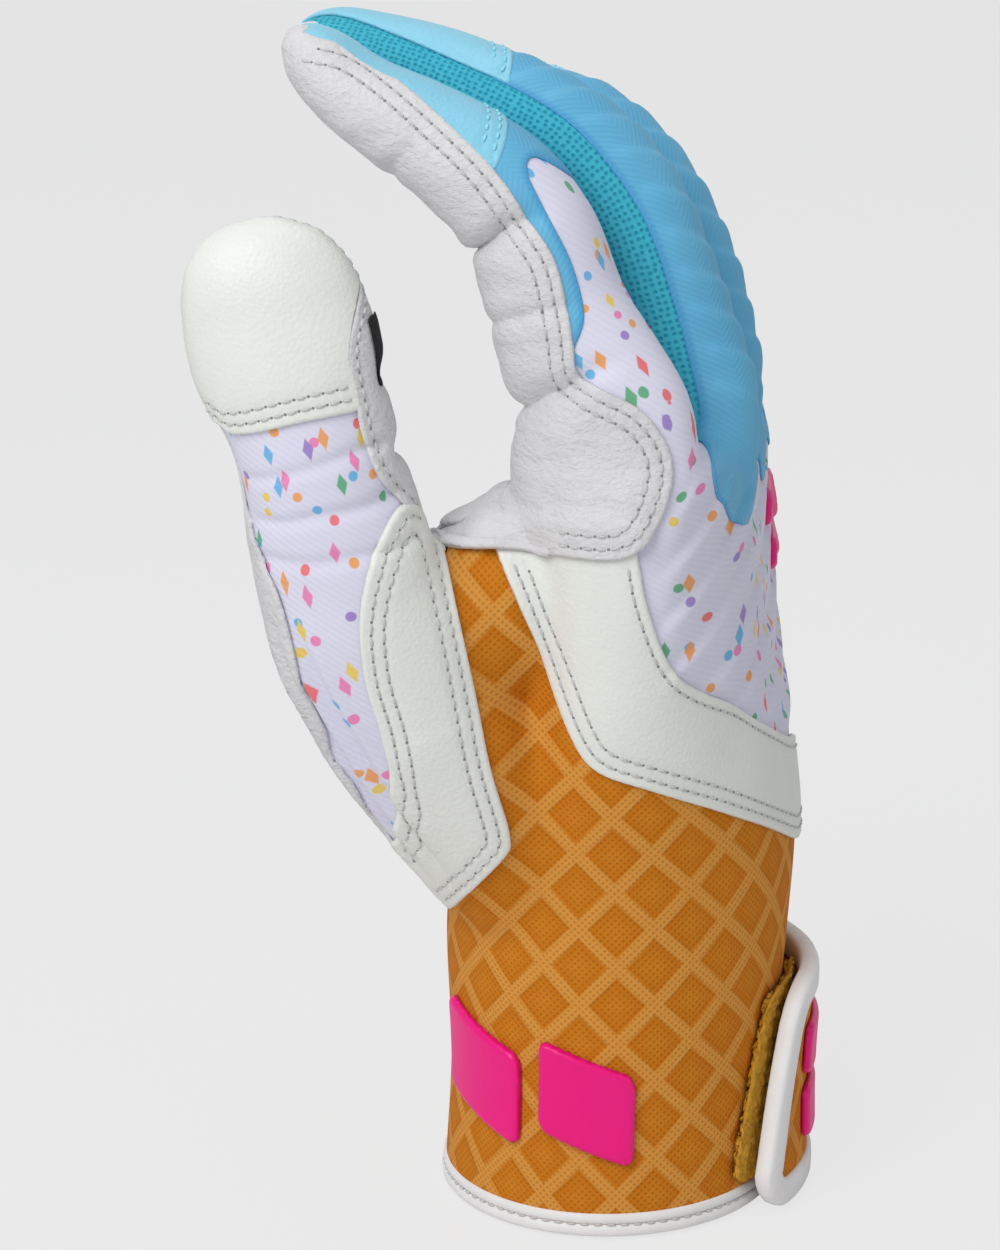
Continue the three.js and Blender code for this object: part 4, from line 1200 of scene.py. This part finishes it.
# %% Cut the knit back
FINGER_MM = math.radians(1) * FINGER_ROUND
CAP = {"index": 35.5, "middle": 34.0, "ring": 32.0, "little": 27.0}
CAP_TILT = 0.06
STRIP_TOP = through([0, 8, 18, 27, 40, 55], [12, 23, 39, 47, 49, 56])
STRIP_LOW = through([0, 14], [96, 122])
index_length = float(fingers["index"].length)
is_index = nearest_finger == 0
on_index_finger = partial(on_finger, name="index")
back_behind = np.where(turn > -60, np.minimum(height - waist, (99 - turn) * ROUND_MM), FAR_OUT)
index_sides = np.minimum(64 - index_turn, index_turn + 100) * FINGER_MM
back_behind = np.where(is_index & (height > FINGER_ROOT - 1), np.clip(index_sides, -9, 6), back_behind)
back_inside = blended(near(np.minimum(back_side, 3 - leather)), np.clip(back_behind, -9, 6))
index_cap_foot = index_length - CAP["index"] + CAP_TILT * np.clip(index_turn, -60, 60)
above = np.minimum(np.where(is_index, index_sides, FAR_OUT), index_cap_foot + 3 - index_s)
back_inside = least(back_inside, np.maximum(above, 131.5 - height), 6 - np.minimum(hand_out, finger_out[0]))
at_knuckle = is_index & (np.abs(height - KNUCKLES) < 2) & (np.abs(index_turn) < 40)
index_chart = flat_chart(index_turn * FINGER_MM, index_s + FINGER_ROOT)
index_chart[:, 0] += np.median(wrist_chart[at_knuckle, 0] - index_chart[at_knuckle, 0])
onto_index = (ease(height, 124, 138) * ease(lane, -16, -24))[:, None]
back_chart = wrist_chart + (index_chart - wrist_chart) * onto_index
panel("knit_back", back_inside, LYCRA, "lavender_lycra", ["hand_back", "index_root_back"], on_index_finger,
      wall=1.2, chart=back_chart)

# %% [markdown]
# ## Palm, index and thumb leather
# The palm is white goat leather. Over the index knuckle it ends in a rounded lobe with two stitch rows,
# and its edge runs up the finger's side. The web between thumb and index shows a rolled edge.

# %% Cut the leather of the index finger
strip_end = STRIP_LOW(index_length - index_s) - 1
index_far = np.where(is_index | (height < KNUCKLES), (index_turn - strip_end) * FINGER_MM, FAR_OUT)
off_back = (-28 - index_turn) * FINGER_MM + 12 * ease(-index_turn, 34, 46)
off_back = np.where((height > 148) & is_index, off_back, NO_LIMIT)
index_edge = np.minimum(leather, off_back)
index_front = np.minimum(index_edge, lobe_side + 3)
index_behind = np.where(index_turn > 0, index_far, (-index_turn - 70) * FINGER_MM)
index_tip = np.where((index_turn > -25) & (index_turn < 8), OUTSIDE, index_s - (index_length - 2.4))
index_inside = np.where(index_turn > 20, index_far, blended(index_front, index_behind))
index_inside = np.where(height > 128, index_inside, index_front)
index_inside = np.where(height > 150, np.maximum(index_inside, index_tip), index_inside)
index_inside = least(
    index_inside,
    np.where(is_index | (height < 129), NO_LIMIT, FAR_OUT),
    np.maximum((seen - 0.35) * FACING_MM, height - FINGER_ROOT + 1.5),
    np.where(height < 128, 1.2 - on_thumb_side, thumb_out - finger_out[0]),
)
index_lift = 0.9 + 1.25 * ease(back_overlay, -5, -1)
sewn_edge = (facing > 0.05) & (leather < lobe_side + 3) & (leather <= off_back)
sewn_edge = sewn_edge & (index_turn > -110) & (index_s < index_length - 5)
panel("index_palm_leather", index_inside, LEATHER, "white_leather", ["index_palm", "index_root_palm"],
      on_index_finger, "index_leather_stitches", lift=index_lift, wall=0.8, rounding=0.6,
      rows=(1.9, 4.0), sewn=sewn_edge)

# %% Cut the palm with the web
LOW_LEATHER = 88
ring_turn = np.where(turn > 0, turn, turn + 360)
palm_round = np.minimum(ring_turn - 96, 275 - ring_turn) * ROUND_MM
palm_behind = least(palm_round, height - PALM_WAIST, FINGER_ROOT - height)
palm_inside = blended(near(np.minimum(leather, -lobe_side)), near(palm_behind))
low_side = 0.3 - 0.35 * ease(height, 64, 76) - facing
palm_low = least(palm_behind, low_side * FACING_MM, LOW_LEATHER - height)
palm_inside = np.where(turn < -100, np.maximum(palm_inside, palm_low), palm_inside)
palm_inside = least(palm_inside, 1.2 - on_thumb_side, FINGER_ROOT - height)
palm_lift = 0.75 + 0.9 * ease(lobe_side, -4, -1) * seen * ease(height, 122, 118)
ulnar_seam = (ring_turn < 125) & (height < FINGER_ROOT - 4) & (height > PALM_WAIST + 4)
panel("palm_leather_and_web", palm_inside, LEATHER, "white_leather", ["palm_leather", "thumb_web"], on_hand,
      "palm_leather_stitches", lift=palm_lift, wall=0.9, rounding=0.5, rows=(1.7,), sewn=ulnar_seam)

# %% Cut the thumb's leather
THUMB_MM = math.radians(1) * THUMB_ROUND
SEAM_FOOT = 508  # the seam ends here in the picture, where the crescent covers it
thumb_edge = np.maximum(left_strip, np.where(thumb_turn > -40, leather, OUTSIDE))
thumb_leather = blended(near(thumb_edge), NO_LIMIT)
thumb_low_part = np.minimum((low_side - 0.05) * FACING_MM, LOW_LEATHER - height)
thumb_leather = least(np.maximum(thumb_leather, thumb_low_part), on_thumb_side, height - PALM_WAIST,
                      8 - thumb_out)
inner_seam = (facing > 0.0) & (thumb_turn > 0) & (picture[:, 1] < SEAM_FOOT)
panel("thumb_palm_leather", thumb_leather, LEATHER, "white_leather",
      ["thumb_palm", "thumb_root_palm", "thumb_base_palm"], on_thumb_body, "thumb_leather_stitches",
      lift=0.95, wall=0.9, rounding=0.5, rows=(1.4,), sewn=inner_seam)

# %% Cut the rolled edge of the web, between picture columns and below picture rows
x, y = picture.T
low_edge = least(leather + 0.3, 1.5 - leather, np.minimum(x - 392, 560 - x) * PIXEL, (y - 485) * PIXEL)
web_fold = least(lobe_side + 2.1, -lobe_side, leather + 0.3, np.minimum(535 - x, y - 425) * PIXEL)
rolled = least(np.maximum(low_edge, web_fold), (seen - 0.5) * FACING_MM, (facing + 0.25) * FACING_MM)
rolled = np.where((height < 125) & (np.minimum(hand_out, web_out) < 6), rolled, OUTSIDE)
rolled = np.minimum(rolled, 3.0 - on_thumb_side)
rolled_lift = np.maximum(palm_lift, 0.9 + (index_lift - 0.9) * ease(height, 122, 118)) + 0.4
panel("web_rolled_edge", rolled, LEATHER, "white_leather", [], on_hand, lift=rolled_lift, wall=0.9,
      rounding=0.7)

# %% Cut the knit of the thumb
thumb_knit = blended(near(least(thumb_side, 3 - leather, 2.5 - left_strip)), -3.0)
thumb_knit = np.minimum(thumb_knit, thumb.length - 24 - thumb_s)
thumb_chart = flat_chart(thumb_turn * THUMB_MM, thumb_s)
panel("thumb_knit", thumb_knit, LYCRA, "lavender_lycra", ["thumb_back", "thumb_root_back", "thumb_base_back"],
      on_thumb_body, wall=1.2, chart=thumb_chart)

# %% [markdown]
# ## Leatherette overlays
# Two overlays of smooth leatherette take the wear at the wrist: a crescent at the root of the thumb and
# an arm that comes down from the web and goes round the back. Both lie on top of the knit and the cuff,
# with two stitch rows.

# %% Cut the crescent and the back overlay
OVERLAY_CUT = {"lift": 1.1, "wall": 0.95, "rounding": 0.7, "rows": (1.9, 3.9)}
CORNER = 6.0
past_side = -16.4 - 0.4 * (np.minimum(height, 78) - 58) - points[:, 1]
past_side = np.where(height < 80, past_side, np.minimum(past_side, (facing + 0.15) * FACING_MM))
crescent_inside = CORNER - np.hypot(np.maximum(CORNER - crescent, 0), np.maximum(CORNER - past_side, 0))
panel("crescent_overlay", crescent_inside, OFFWHITE, "offwhite_leatherette", ["thumb_overlay"], on_hand,
      "crescent_stitches", sewn=facing > 0.24, **OVERLAY_CUT)
round_share = ease(turn, -48, -18)
overlay_front = np.clip(np.minimum(back_overlay, (facing + 0.3) * 12), -8, 8)
overlay_inside = overlay_front * (1 - round_share) + np.clip(overlay_behind, -8, 8) * round_share
overlay_inside = np.where(turn < -150, -8.0, overlay_inside)
on_show = (leather < -0.5) & ((picture[:, 1] > 562) | (turn > -20))
lower_half = np.where(round_share > 0.5, height < waist, back_side < 0)
panel("back_overlay", overlay_inside, OFFWHITE, "offwhite_leatherette", ["back_overlay"], on_hand,
      "back_overlay_stitches", sewn=(on_show, on_show & lower_half), **OVERLAY_CUT)

# %% [markdown]
# ## Finger stalls
# Every finger has a leather palm side, mesh strips along the sides, a plain blue twill back that tapers
# on to the hand, and a smooth leatherette cap over its end.

# %% The twill's tongue on the hand below a finger
# depths below the finger's root, half width there, and the tongue's middle beside the finger's own
TONGUES = {
    "middle": ([-1.5, -0.4, 0.9, 2.2, 4.7, 8.4, 11.5, 13.4], [9.5, 13, 15.5, 16.2, 15.7, 12.2, 6.8, 0], -2.5),
    "ring": ([0, 5, 8, 10, 11.5], [9.8, 9, 7.5, 5, 0], 0.0),
    "little": ([0, 4, 7, 9, 10.5], [9.8, 9, 7.5, 5, 0], 0.0),
}
MIDDLE_WIDEST = 12.0
on_back = np.abs(turn) < 100
up = height - FINGER_ROOT


def tongue_below(name):
    """Distance inside a finger's tongue, on the back of the hand."""
    depths, halves, shift = TONGUES[name]
    width = through(depths, halves)(-up)
    across = lane - LANES[name] - shift
    widest = MIDDLE_WIDEST if name == "middle" else halves[0]
    right = np.minimum(np.where(up > -1.5, widest, width), widest)
    below = np.where(across > 0, right, width) - np.abs(across)
    below = np.where(-up < depths[-1], below, OUTSIDE)
    if name == "little":
        outer = np.minimum(depths[-1] * (1 - 0.45 * ease(across, 0, 12)) + up, (98 - turn) * ROUND_MM)
        below = np.where(across > 0, np.minimum(outer, 6), below)
    return below


print("tongues:", len(TONGUES))

# %% Cut the finger panels
TWILL_CUT = {"lift": 0.35, "wall": 0.3, "rounding": 0.25}
LAPPED = 3  # how far the twill runs under its neighbours
for order, name in enumerate(FINGERS):
    deg, s, out = finger_numbers[name]
    others = np.delete(finger_out, order, 0).min(0)
    mine = np.minimum((others - out) / 2, 6.0)
    length = float(fingers[name].length)
    chart = flat_chart(deg * FINGER_MM, s)
    move = partial(on_finger, name=name)
    cap_foot = length - CAP[name] + CAP_TILT * np.clip(deg, -60, 60)
    top = STRIP_TOP(length - s)
    low = STRIP_LOW(length - s)
    outer_back, outer_palm = (94, 92) if name == "little" else (top, low)
    if name == "index":
        twill = least((top + LAPPED - deg) * FINGER_MM, LAPPED - index_edge, -print_window,
                      cap_foot + LAPPED - s, mine, s - 18, (deg + 110) * FINGER_MM)
        cap_sides = np.minimum(np.minimum(top + 2 - deg, deg + 100) * FINGER_MM, 2.5 - index_edge)
        cap_end = NO_LIMIT
        foot = index_edge < -0.6
        twill_nodes = ["index_back"]
    else:
        palm_side = np.where(deg > 0, deg - outer_palm, -deg - low) * FINGER_MM
        palm_side = least(np.maximum(palm_side, s - length + 1.4), up + 1.5, mine)
        panel(name + "_palm_leather", palm_side, LEATHER, "white_leather",
              [name + "_palm", name + "_root_palm"], move, name + "_palm_stitches", lift=0.55, wall=0.9,
              rounding=0.5, rows=(1.5,), sewn=(up > 5) & (s < length - 10))
        back_limit = np.where(deg > 0, outer_back + LAPPED - deg, top + LAPPED + deg) * FINGER_MM
        onto_finger = ease(up, -1, 5)
        twill = onto_finger * near(back_limit) + (1 - onto_finger) * near(tongue_below(name))
        twill = spread(np.where(on_back | (up > 4), twill, OUTSIDE), 8)
        twill = least(twill, mine + 12 * ease(up, 3.5, 0.5), cap_foot + LAPPED - s)
        cap_sides = np.minimum(outer_back + 2 - deg, top + 2 + deg) * FINGER_MM
        cap_end = length - 1.2 - s
        foot = True
        twill_nodes = [name + "_back", name + "_root_back"]
    panel(name + "_back_twill", twill, TWILL, "sky_lycra", twill_nodes, move, chart=chart, **TWILL_CUT)
    for side, word in ((-1, "thumbside"), (1, "farside")):
        node = f"{name}_strip_{word}"
        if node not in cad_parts:
            continue
        away = side * deg
        strip = np.minimum(away - top + 4, low + 4 - away) * FINGER_MM
        strip = least(strip, mine, up + 1, length - 1.2 - s)
        puff = 0.8 * np.sqrt(np.clip(1 - ((2 * away - top - low) / (low - top)) ** 2, 0, 1))
        panel(node + "_mesh", strip, SPACER, "turquoise_mesh", [node], move, lift=puff - 0.15, wall=1.0,
              rounding=0.3, chart=chart)
    from_foot = s - cap_foot
    panel(name + "_tip_cap", least(cap_sides, mine, from_foot, cap_end), PALE_BLUE, "pale_blue_synthetic",
          [name + "_cap"], move, name + "_cap_stitches", BLUE_THREAD, holes=False, lift=0.6, wall=0.5,
          rounding=0.5, rows=(1.3, 3.0), sewn=(from_foot < cap_sides + 0.4) & foot)

# %% [markdown]
# ## Thumb cap and label
# A leatherette cap is sewn over the thumb's end, and a small bare woven label lies on the leather
# beside it.

# %% Cut the cap and the label
cap_right = through([90, 96.3, 104, 112.4, 118, 126], [42, 43, 45, 72, 94, 96])(thumb_s)
cap_foot = through([-96, -66, -56, 0, 45], [98.5, 97.7, 96.3, 95.6, 94.2])(thumb_turn)
cap_sides = np.minimum(3 * (cap_right + 2 - thumb_turn), thumb_turn + 102) * THUMB_MM
from_foot = thumb_s - cap_foot
near_thumb = (height > 110) & (thumb_out < 4)
thumb_cap = np.where(near_thumb, np.minimum(cap_sides, from_foot), OUTSIDE)
panel("thumb_tip_cap", thumb_cap, OFFWHITE, "offwhite_leatherette", ["thumb_cap"], on_thumb_body,
      "thumb_cap_stitches", lift=0.9, wall=0.8, rounding=0.6, rows=(1.8, 3.6),
      sewn=(from_foot < cap_sides) & (facing > -0.2))
label = least(np.minimum(thumb_turn - 70, 100 - thumb_turn) * THUMB_MM, thumb_s - 95.5, 107 - thumb_s)
label = np.where(near_thumb, label, OUTSIDE)
panel("thumb_label_strip", label, LABEL, "black_label", ["thumb_label"], on_thumb_body, lift=1.45, wall=0.8,
      rounding=0.25)

# %% [markdown]
# ## Raised rubber bars
# Moulded rubber badges sit on the cuff, the strap and the back of the hand. Here they are plain bars
# with rounded corners, cut from the form like a panel but thicker and with a fuller edge.

# %% Cut the bars
STRAP_TOP = 5.5
NEAR_TRUNK = 4
# node, first and last angle, low and high edge, slant, lift, body
BARS = [
    ("cuff_bar_left", -146, -108, 17, 33, -6, 1.5, "hand"),
    ("cuff_bar_right", -101, -68, 15, 31, -6, 1.5, "hand"),
    ("back_bar_high", 8, 46, 111.1, 117, 0, 1.1, "hand"),
    ("back_bar_low", 8, 46, 104, 109.4, 0, 1.1, "hand"),
    ("strap_bar_high", -3, 32, 20.1, 29.6, 0, STRAP_TOP + 1.4, "strap_end"),
    ("strap_bar_low", -3, 32, 8.6, 18.1, 0, STRAP_TOP + 1.4, "strap_end"),
]
for node, first, last, low, high, slant, lift, body in BARS:
    middle = (first + last) / 2
    share = (turn - middle) / (last - first)
    bar = rounded_bar((turn - middle) * ROUND_MM, height - (low + high) / 2 - slant * share,
                      (last - first) / 2 * ROUND_MM, (high - low) / 2, 2.2)
    bar = np.where(hand_out < NEAR_TRUNK, bar, OUTSIDE)
    panel(node + "_rubber", bar, RUBBER, "pink_rubber", [node], lambda piece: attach(piece, body),
          lift=lift, wall=1.3, rounding=1.1, rows=(1.9,), sewn=np.zeros(len(points)))

# %% [markdown]
# ## The strap
# The wrist strap is sewn down at the little finger's side, runs round the back of the cuff and closes
# with hooks on a loop pile. It is cut like a panel, but lies several millimetres above the form. A
# rolled tape goes round its edge.

# %% Strap, root, piles and slit
STRAP_LOW, STRAP_HIGH = 4.4, 33.8
STRAP_MIDDLE = 19.1
FOLD, ROOT, ROOT_END = 36, 100, 115
ROOT_DROP = 3.2
LAP = 3
STRAP_LEAN, PILE_LEAN = 0.45, 0.42
PILE_RIGHT, PILE_MIDDLE, PILE_HALF = 22, 21.4, 15.8


def leaning(angle, lean, up):
    """An upright line at an angle that leans more the farther it is from the fold."""
    return angle + (FOLD - angle) / (FOLD + 16) * lean * (up - STRAP_MIDDLE)


def between(first, last, rows):
    """Distance inside a length of strap, between two angles."""
    return np.minimum(np.minimum(turn - first, last - turn) * ROUND_MM, rows)


strap_rows = np.minimum(height - STRAP_LOW, STRAP_HIGH - height)
tab = between(leaning(-14, STRAP_LEAN, height), FOLD + LAP, strap_rows)
base = between(FOLD - LAP, ROOT + LAP, strap_rows)
root = between(ROOT - LAP, ROOT_END, strap_rows)
hooks = between(-7, 28, np.minimum(height - 6.4, 31.8 - height))
pile_left = leaning(-25.5, PILE_LEAN, height)
tufts = np.random.default_rng(7).uniform(-1, 1, len(points))
loops = rounded_bar((turn - (pile_left + PILE_RIGHT) / 2) * ROUND_MM, height - PILE_MIDDLE,
                    (PILE_RIGHT - pile_left) / 2 * ROUND_MM, PILE_HALF, 3.5)
loops += 0.3 * tufts
root_lift = STRAP_TOP - ROOT_DROP * ease(turn, ROOT + 2, ROOT_END)
strap_pieces = [
    ("strap_face", tab, AMBER, STRAP_TOP, 1.9, "amber_knit", "strap_tab"),
    ("strap_base_face", base, AMBER, STRAP_TOP - 0.03, 1.9, "amber_knit", "strap_base"),
    ("strap_root_face", root, AMBER, root_lift - 0.06, 1.9, "amber_knit", "strap_root"),
    ("loop_pile", loops, LOOPS, 1.7 + 0.4 * tufts, 1.2, "tan_loop_pile", "loop_patch"),
    ("hook_pile", hooks, HOOKS, 3.2, 1.0, "black_hook_pile", "hook_patch"),
    ("slit_elastic", slit, ELASTIC, -0.2, 1.0, "white_elastic", "slit_gusset"),
]
strap_made = {}
for name, field, finish, lift, wall, slot, node in strap_pieces:
    field = np.minimum(field, np.where(hand_out < NEAR_TRUNK, -OUTSIDE, OUTSIDE))
    piece, _ = cut_panel(name, field, finish, lift=lift, wall=wall, rounding=0.4, chart=wrist_chart)
    stands_for(piece, slot, node)
    strap_made[name] = piece

# %% A soft tape along a path


def swept(name, path, ways, half_wide, half_high, closed=False, flat=0.55):
    """A soft oval tape along a path of places, with ways as its outward normals."""
    along = np.gradient(path, axis=0)
    if closed:
        along = np.roll(path, -1, 0) - np.roll(path, 1, 0)
    along = unit(along)
    side = unit(np.cross(along, ways))
    up = unit(np.cross(side, along))
    count = len(path)
    steps = count if closed else count - 1

    def place(u, v):
        i = np.clip(np.round(v * steps).astype(int), 0, count) % count
        a = 2 * np.pi * u
        c, s = np.cos(a), np.sin(a)
        wide = half_wide * np.sign(c) * np.abs(c) ** flat
        high = half_high * np.sign(s) * np.abs(s) ** flat
        return path[i] + wide[:, None] * side[i] + high[:, None] * up[i]

    bm = bmesh.new()
    wrapped_grid(bm, place, 16, steps)
    bmesh.ops.recalc_face_normals(bm, faces=bm.faces)
    made = as_piece(bm, name, TAPE)
    print(name, len(made.data.polygons), "faces")
    return made


def on_strap(chalk):
    """Places and outward normals for (angle, height) rows on the strap's middle layer."""
    chalk = np.asarray(chalk, float)
    offset = 4.55 - ROOT_DROP * ease(chalk[:, 0], ROOT + 2, ROOT_END)
    place = hand_surface(chalk[:, 0], chalk[:, 1], offset)
    ahead = hand_surface(chalk[:, 0], chalk[:, 1], offset + 1)
    return place, unit(ahead - place)


# %% Rolled tape round the strap
TAPE_LOW, TAPE_HIGH, TAPE_CORNER = 2.6, 35.7, 5.0
TAPE_END = -16
CORNER_LEAN = 1.5
BINDING = (2.5, 1.7)
up_end = np.linspace(TAPE_LOW + TAPE_CORNER, TAPE_HIGH - TAPE_CORNER, 40)
end_line = np.column_stack([leaning(TAPE_END, STRAP_LEAN, up_end), up_end])
quarter = np.linspace(0, np.pi / 2, 9)[1:-1]
c, s = np.cos(quarter), np.sin(quarter)
low_turn, high_turn = [leaning(TAPE_END, STRAP_LEAN, level) for level in (TAPE_LOW, TAPE_HIGH)]
bow = TAPE_CORNER / ROUND_MM
low_corner = np.column_stack([low_turn + bow * (1 - s) + CORNER_LEAN * s, TAPE_LOW + TAPE_CORNER * (1 - c)])
high_corner = np.column_stack([high_turn + bow * (1 - c) - CORNER_LEAN * c,
                               TAPE_HIGH - TAPE_CORNER * (1 - s)])
low_run = np.column_stack([np.linspace(FOLD, low_turn + bow, 30), np.full(30, TAPE_LOW)])
high_run = np.column_stack([np.linspace(high_turn + bow, FOLD, 30), np.full(30, TAPE_HIGH)])
tapes = [("strap_end_tape", [low_run, low_corner, end_line, high_corner, high_run], "tab_binding")]
for word, level in (("low", TAPE_LOW), ("high", TAPE_HIGH)):
    run = np.column_stack([np.linspace(FOLD, ROOT_END, 70), np.full(70, level)])
    tapes.append(("strap_base_tape_" + word, [run], "base_binding_" + word))
for name, runs, node in tapes:
    strap_made[name] = swept(name, *on_strap(np.concatenate(runs)), *BINDING)
    stands_for(strap_made[name], "white_binding", node)

# %% Binding and stitches at the hem: name, height, half height, depth below the form, solid
HEM_TAPES = [("hem_tape", 1.2, 1.2, -1.2, ["hem_binding"]), ("hem_band", 3.2, 1.1, -1.3, [])]
ring = np.linspace(-180, 180, 181)[:-1]
for name, level, half, sunk, nodes in HEM_TAPES:
    path = hand_surface(ring, level, sunk)
    ways = unit(hand_surface(ring, level, sunk + 1) - path)
    hem = swept(name, path, ways, half, 1.75, closed=True, flat=0.7)
    stands_for(hem, "white_binding", *nodes)
    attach(hem, "hand")
run = hand_surface(np.linspace(-180, 180, 361), 2.25, 0.12)
hem_seam = sew("hem_stitches", [(run, unit(run * [1, 1, 0]))], THREAD, holes=False)
stands_for(hem_seam, "white_binding")
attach(hem_seam, "hand")

# %% How the strap moves
root_end, root_start = [tuple(p) for p in hand_surface(np.array([ROOT - 14.0, ROOT - 2.0]), 19.0, 3.0) * MM]
fold_start, fold_end = [tuple(p) for p in hand_surface(np.array([FOLD + 3.0, FOLD - 9.0]), 19.0, 4.5) * MM]
for name in ("strap_base_face", "strap_base_tape_low", "strap_base_tape_high"):
    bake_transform(strap_made[name], "hand", "strap_back", start=root_start, end=root_end)
for name in ("strap_face", "strap_end_tape"):
    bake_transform(strap_made[name], "strap_back", "strap_end", start=fold_start, end=fold_end)
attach(strap_made["hook_pile"], "strap_end")
for name in ("strap_root_face", "loop_pile", "slit_elastic"):
    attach(strap_made[name], "hand")
print("strap:", len(strap_made), "pieces")

# %% [markdown]
# ## Camera, floor and light
# The photograph looks slightly down on the glove from the thumb's side. The floor is pale, and soft
# light comes from the front left, with a weak lamp at the right and another one above.

# %% Camera
lens = bpy.data.cameras.new("photo_camera")
lens.sensor_width = 36
lens.lens = 36 * FOCAL_PIXELS / PICTURE[1]
lens.clip_start = 0.01
camera = bpy.data.objects.new("photo_camera", lens)
camera.location = Vector((CAMERA_TARGET + CAMERA_AWAY * TO_CAMERA) * MM)
camera.rotation_euler = (math.pi / 2 - CAMERA_TILT, 0, 0)
bpy.context.scene.collection.objects.link(camera)
bpy.context.scene.camera = camera
bpy.context.scene.view_settings.view_transform = "Standard"

# %% Floor and background
PAPER = colour("#ececec")
paper, tree, shader = new_material("matt_backdrop_paper", 0.95, 0.1)
shader.inputs["Base Color"].default_value = PAPER
glow = add_node(tree, "Emission", {"Color": PAPER, "Strength": 1.0})
path = add_node(tree, "LightPath")
share = worked(tree, "MULTIPLY", path.outputs["Is Camera Ray"], 0.88)
both = add_node(tree, "MixShader", {0: share, 1: shader.outputs[0], 2: glow.outputs[0]})
tree.links.new(both.outputs[0], tree.nodes["Material Output"].inputs["Surface"])
sheet = bmesh.new()
bmesh.ops.create_circle(sheet, cap_ends=True, segments=96, radius=6.0)
floor_mesh = bpy.data.meshes.new("paper_floor")
sheet.to_mesh(floor_mesh)
sheet.free()
floor = link("paper_floor", floor_mesh, paper)
floor.location.z = -0.0005
world = bpy.data.worlds.new("studio")
bpy.context.scene.world = world
world.use_nodes = True
tree = world.node_tree
path = add_node(tree, "LightPath")
shown = worked(tree, "MAXIMUM", path.outputs["Is Camera Ray"], path.outputs["Is Glossy Ray"])
shown = worked(tree, "MAXIMUM", shown, path.outputs["Is Transmission Ray"])
soft = tree.nodes["Background"]
soft.inputs["Color"].default_value = colour("#f4f6fa")
soft.inputs["Strength"].default_value = 0.34
pale = add_node(tree, "Background", {"Color": PAPER, "Strength": 1.0})
both = add_node(tree, "MixShader", {0: shown, 1: soft.outputs[0], 2: pale.outputs[0]})
tree.links.new(both.outputs[0], tree.nodes["World Output"].inputs["Surface"])

# %% Lamps: a large soft key from the front left, a weak fill from the right and a soft one above
LAMPS = [("key", (-0.48, -0.72, 0.82), 0.7, 7.5), ("fill", (0.75, -0.45, 0.45), 0.8, 0.7),
         ("top", (-0.1, 0.1, 1.1), 0.8, 2.0)]
for name, place, size, power in LAMPS:
    lamp = bpy.data.lights.new(name, "AREA")
    lamp.shape = "DISK"
    lamp.size = size
    lamp.energy = power
    stand = bpy.data.objects.new(name, lamp)
    stand.location = place
    aim = Vector((-0.01, 0, 0.1)) - Vector(place)
    stand.rotation_euler = aim.to_track_quat("-Z", "Y").to_euler()
    bpy.context.scene.collection.objects.link(stand)
